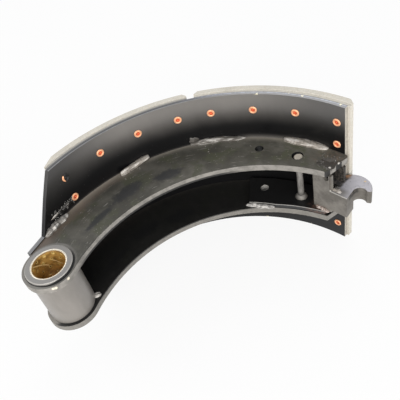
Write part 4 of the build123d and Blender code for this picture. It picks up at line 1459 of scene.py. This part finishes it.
@dataclass
class Studio:
    """Pale floor, white surround, soft lamps and the camera that the photograph was taken with."""

    camera_place: tuple = (0.28945, -0.26293, 0.41422)
    right: tuple = (0.95643433, 0.22338562, -0.18796869)
    down: tuple = (0.03144848, -0.71892937, -0.69437134)
    forward: tuple = (-0.29024878, 0.65820926, -0.69463387)
    focal_pixels: float = 532.06
    picture: int = 400
    film: float = 36.0
    floor_half: float = 6.0
    floor_colour: tuple = (0.8, 0.8, 0.8)
    surround_colour: tuple = (0.93, 0.96, 1.0, 1.0)
    surround_strength: float = 0.42
    middle: tuple = (0.13, 0.1, 0.0)

    def hang(self, name: str, data: bpy.types.ID, *columns: np.ndarray) -> bpy.types.Object:
        """Puts a camera or a lamp into the scene.

        Args:
            name: its name.
            data: what it is.
            columns: its directions right, up and backwards, and its place.

        Returns:
            The new object.
        """
        thing = bpy.data.objects.new(name, data)
        thing.matrix_world = Matrix([*np.transpose(columns).tolist(), [0.0, 0.0, 0.0, 1.0]])
        bpy.context.scene.collection.objects.link(thing)
        return thing

    def camera(self) -> None:
        """Places the camera as it was fitted to the photograph."""
        data = bpy.data.cameras.new("camera")
        data.sensor_width = self.film
        data.lens = self.focal_pixels / self.picture * self.film
        data.clip_start = 0.01
        data.clip_end = 50.0
        bpy.context.scene.camera = self.hang("camera", data, np.array(self.right), -np.array(self.down),
                                             -np.array(self.forward), np.array(self.camera_place))

    def floor(self) -> None:
        """A large pale square just under the shoe, which the camera sees as nearly white."""
        low = CAD_BOX[0][2]
        half = self.floor_half
        mesh = bpy.data.meshes.new("floor")
        mesh.from_pydata([(-half, -half, low), (half, -half, low), (half, half, low), (-half, half, low)], [],
                         [(0, 1, 2, 3)])
        floor = bpy.data.objects.new("floor", mesh)
        bpy.context.scene.collection.objects.link(floor)
        make = Recipe("floor", self.floor_colour)
        make.finish(Roughness=0.9, Specular_IOR_Level=0.0)
        glow = make.tree.nodes.new("ShaderNodeEmission")
        glow.inputs["Strength"].default_value = 1.0
        output = next(node for node in make.tree.nodes if node.type == "OUTPUT_MATERIAL")
        self.whiten(make.tree, 0.9, make.shader, glow, output)
        mesh.materials.append(make.material)

    def whiten(self, tree: bpy.types.NodeTree, share: float, plain: bpy.types.Node, white: bpy.types.Node,
               output: bpy.types.Node) -> None:
        """Swaps one shader for a white one where the camera, a mirror or glass looks at it.

        Args:
            tree: the nodes that they belong to.
            share: how much of the white one the camera sees.
            plain: the shader that light falls on.
            white: the shader that is seen.
            output: the tree's end.
        """
        paths = tree.nodes.new("ShaderNodeLightPath")
        camera, glossy, through = (Wire(tree, paths.outputs[f"Is {kind} Ray"])
                                   for kind in ("Camera", "Glossy", "Transmission"))
        mixer = tree.nodes.new("ShaderNodeMixShader")
        connect(tree, mixer.inputs[0], (camera * share + glossy + through).clip())
        tree.links.new(plain.outputs[0], mixer.inputs[1])
        tree.links.new(white.outputs[0], mixer.inputs[2])
        tree.links.new(mixer.outputs[0], output.inputs["Surface"])

    def world(self) -> None:
        """A soft grey surround for light, white where the camera looks at it."""
        world = bpy.data.worlds.new("surround")
        bpy.context.scene.world = world
        world.use_nodes = True
        tree = world.node_tree
        tree.nodes.clear()
        dim = tree.nodes.new("ShaderNodeBackground")
        dim.inputs["Color"].default_value = self.surround_colour
        dim.inputs["Strength"].default_value = self.surround_strength
        white = tree.nodes.new("ShaderNodeBackground")
        white.inputs["Strength"].default_value = 1.0
        self.whiten(tree, 1.0, dim, white, tree.nodes.new("ShaderNodeOutputWorld"))

    def lamp(self, name: str, place: tuple, size: float, watts: float,
             colour: tuple = (1.0, 1.0, 1.0)) -> None:
        """A square soft lamp that shines at the shoe's middle.

        Args:
            name: its name.
            place: where it hangs, in metres.
            size: its side, in metres.
            watts: its power.
            colour: its light's colour.
        """
        data = bpy.data.lights.new(name, "AREA")
        data.size = size
        data.energy = watts
        data.color = colour
        back = np.array(place) - np.array(self.middle)
        back = back / np.linalg.norm(back)
        side = np.cross(UP, back)
        side = side / np.linalg.norm(side)
        self.hang(name, data, side, np.cross(back, side), back, np.array(place))

    def build(self) -> None:
        """Sets the whole scene round the shoe."""
        bpy.context.scene.view_settings.view_transform = "Standard"
        self.camera()
        self.floor()
        self.world()
        self.lamp("front", (0.3, -1.5, 0.75), 1.3, 26.0, (1.0, 0.97, 0.93))
        self.lamp("left", (-1.3, 0.2, 1.2), 1.0, 9.0)
        self.lamp("back", (0.2, 1.5, 1.5), 1.2, 12.0)
        self.lamp("right", (1.5, -0.7, 0.6), 0.9, 9.0)


def main() -> None:
    """Builds the sub-assemblies in order and dresses them."""
    logging.basicConfig(level=logging.INFO)
    Studio().build()
    finishes = Finishes()
    for assembly in (PlateWork, Rivets, Bushes, Welds, Spatter):
        assembly(finishes).build()


if __name__ == "__main__":
    main()
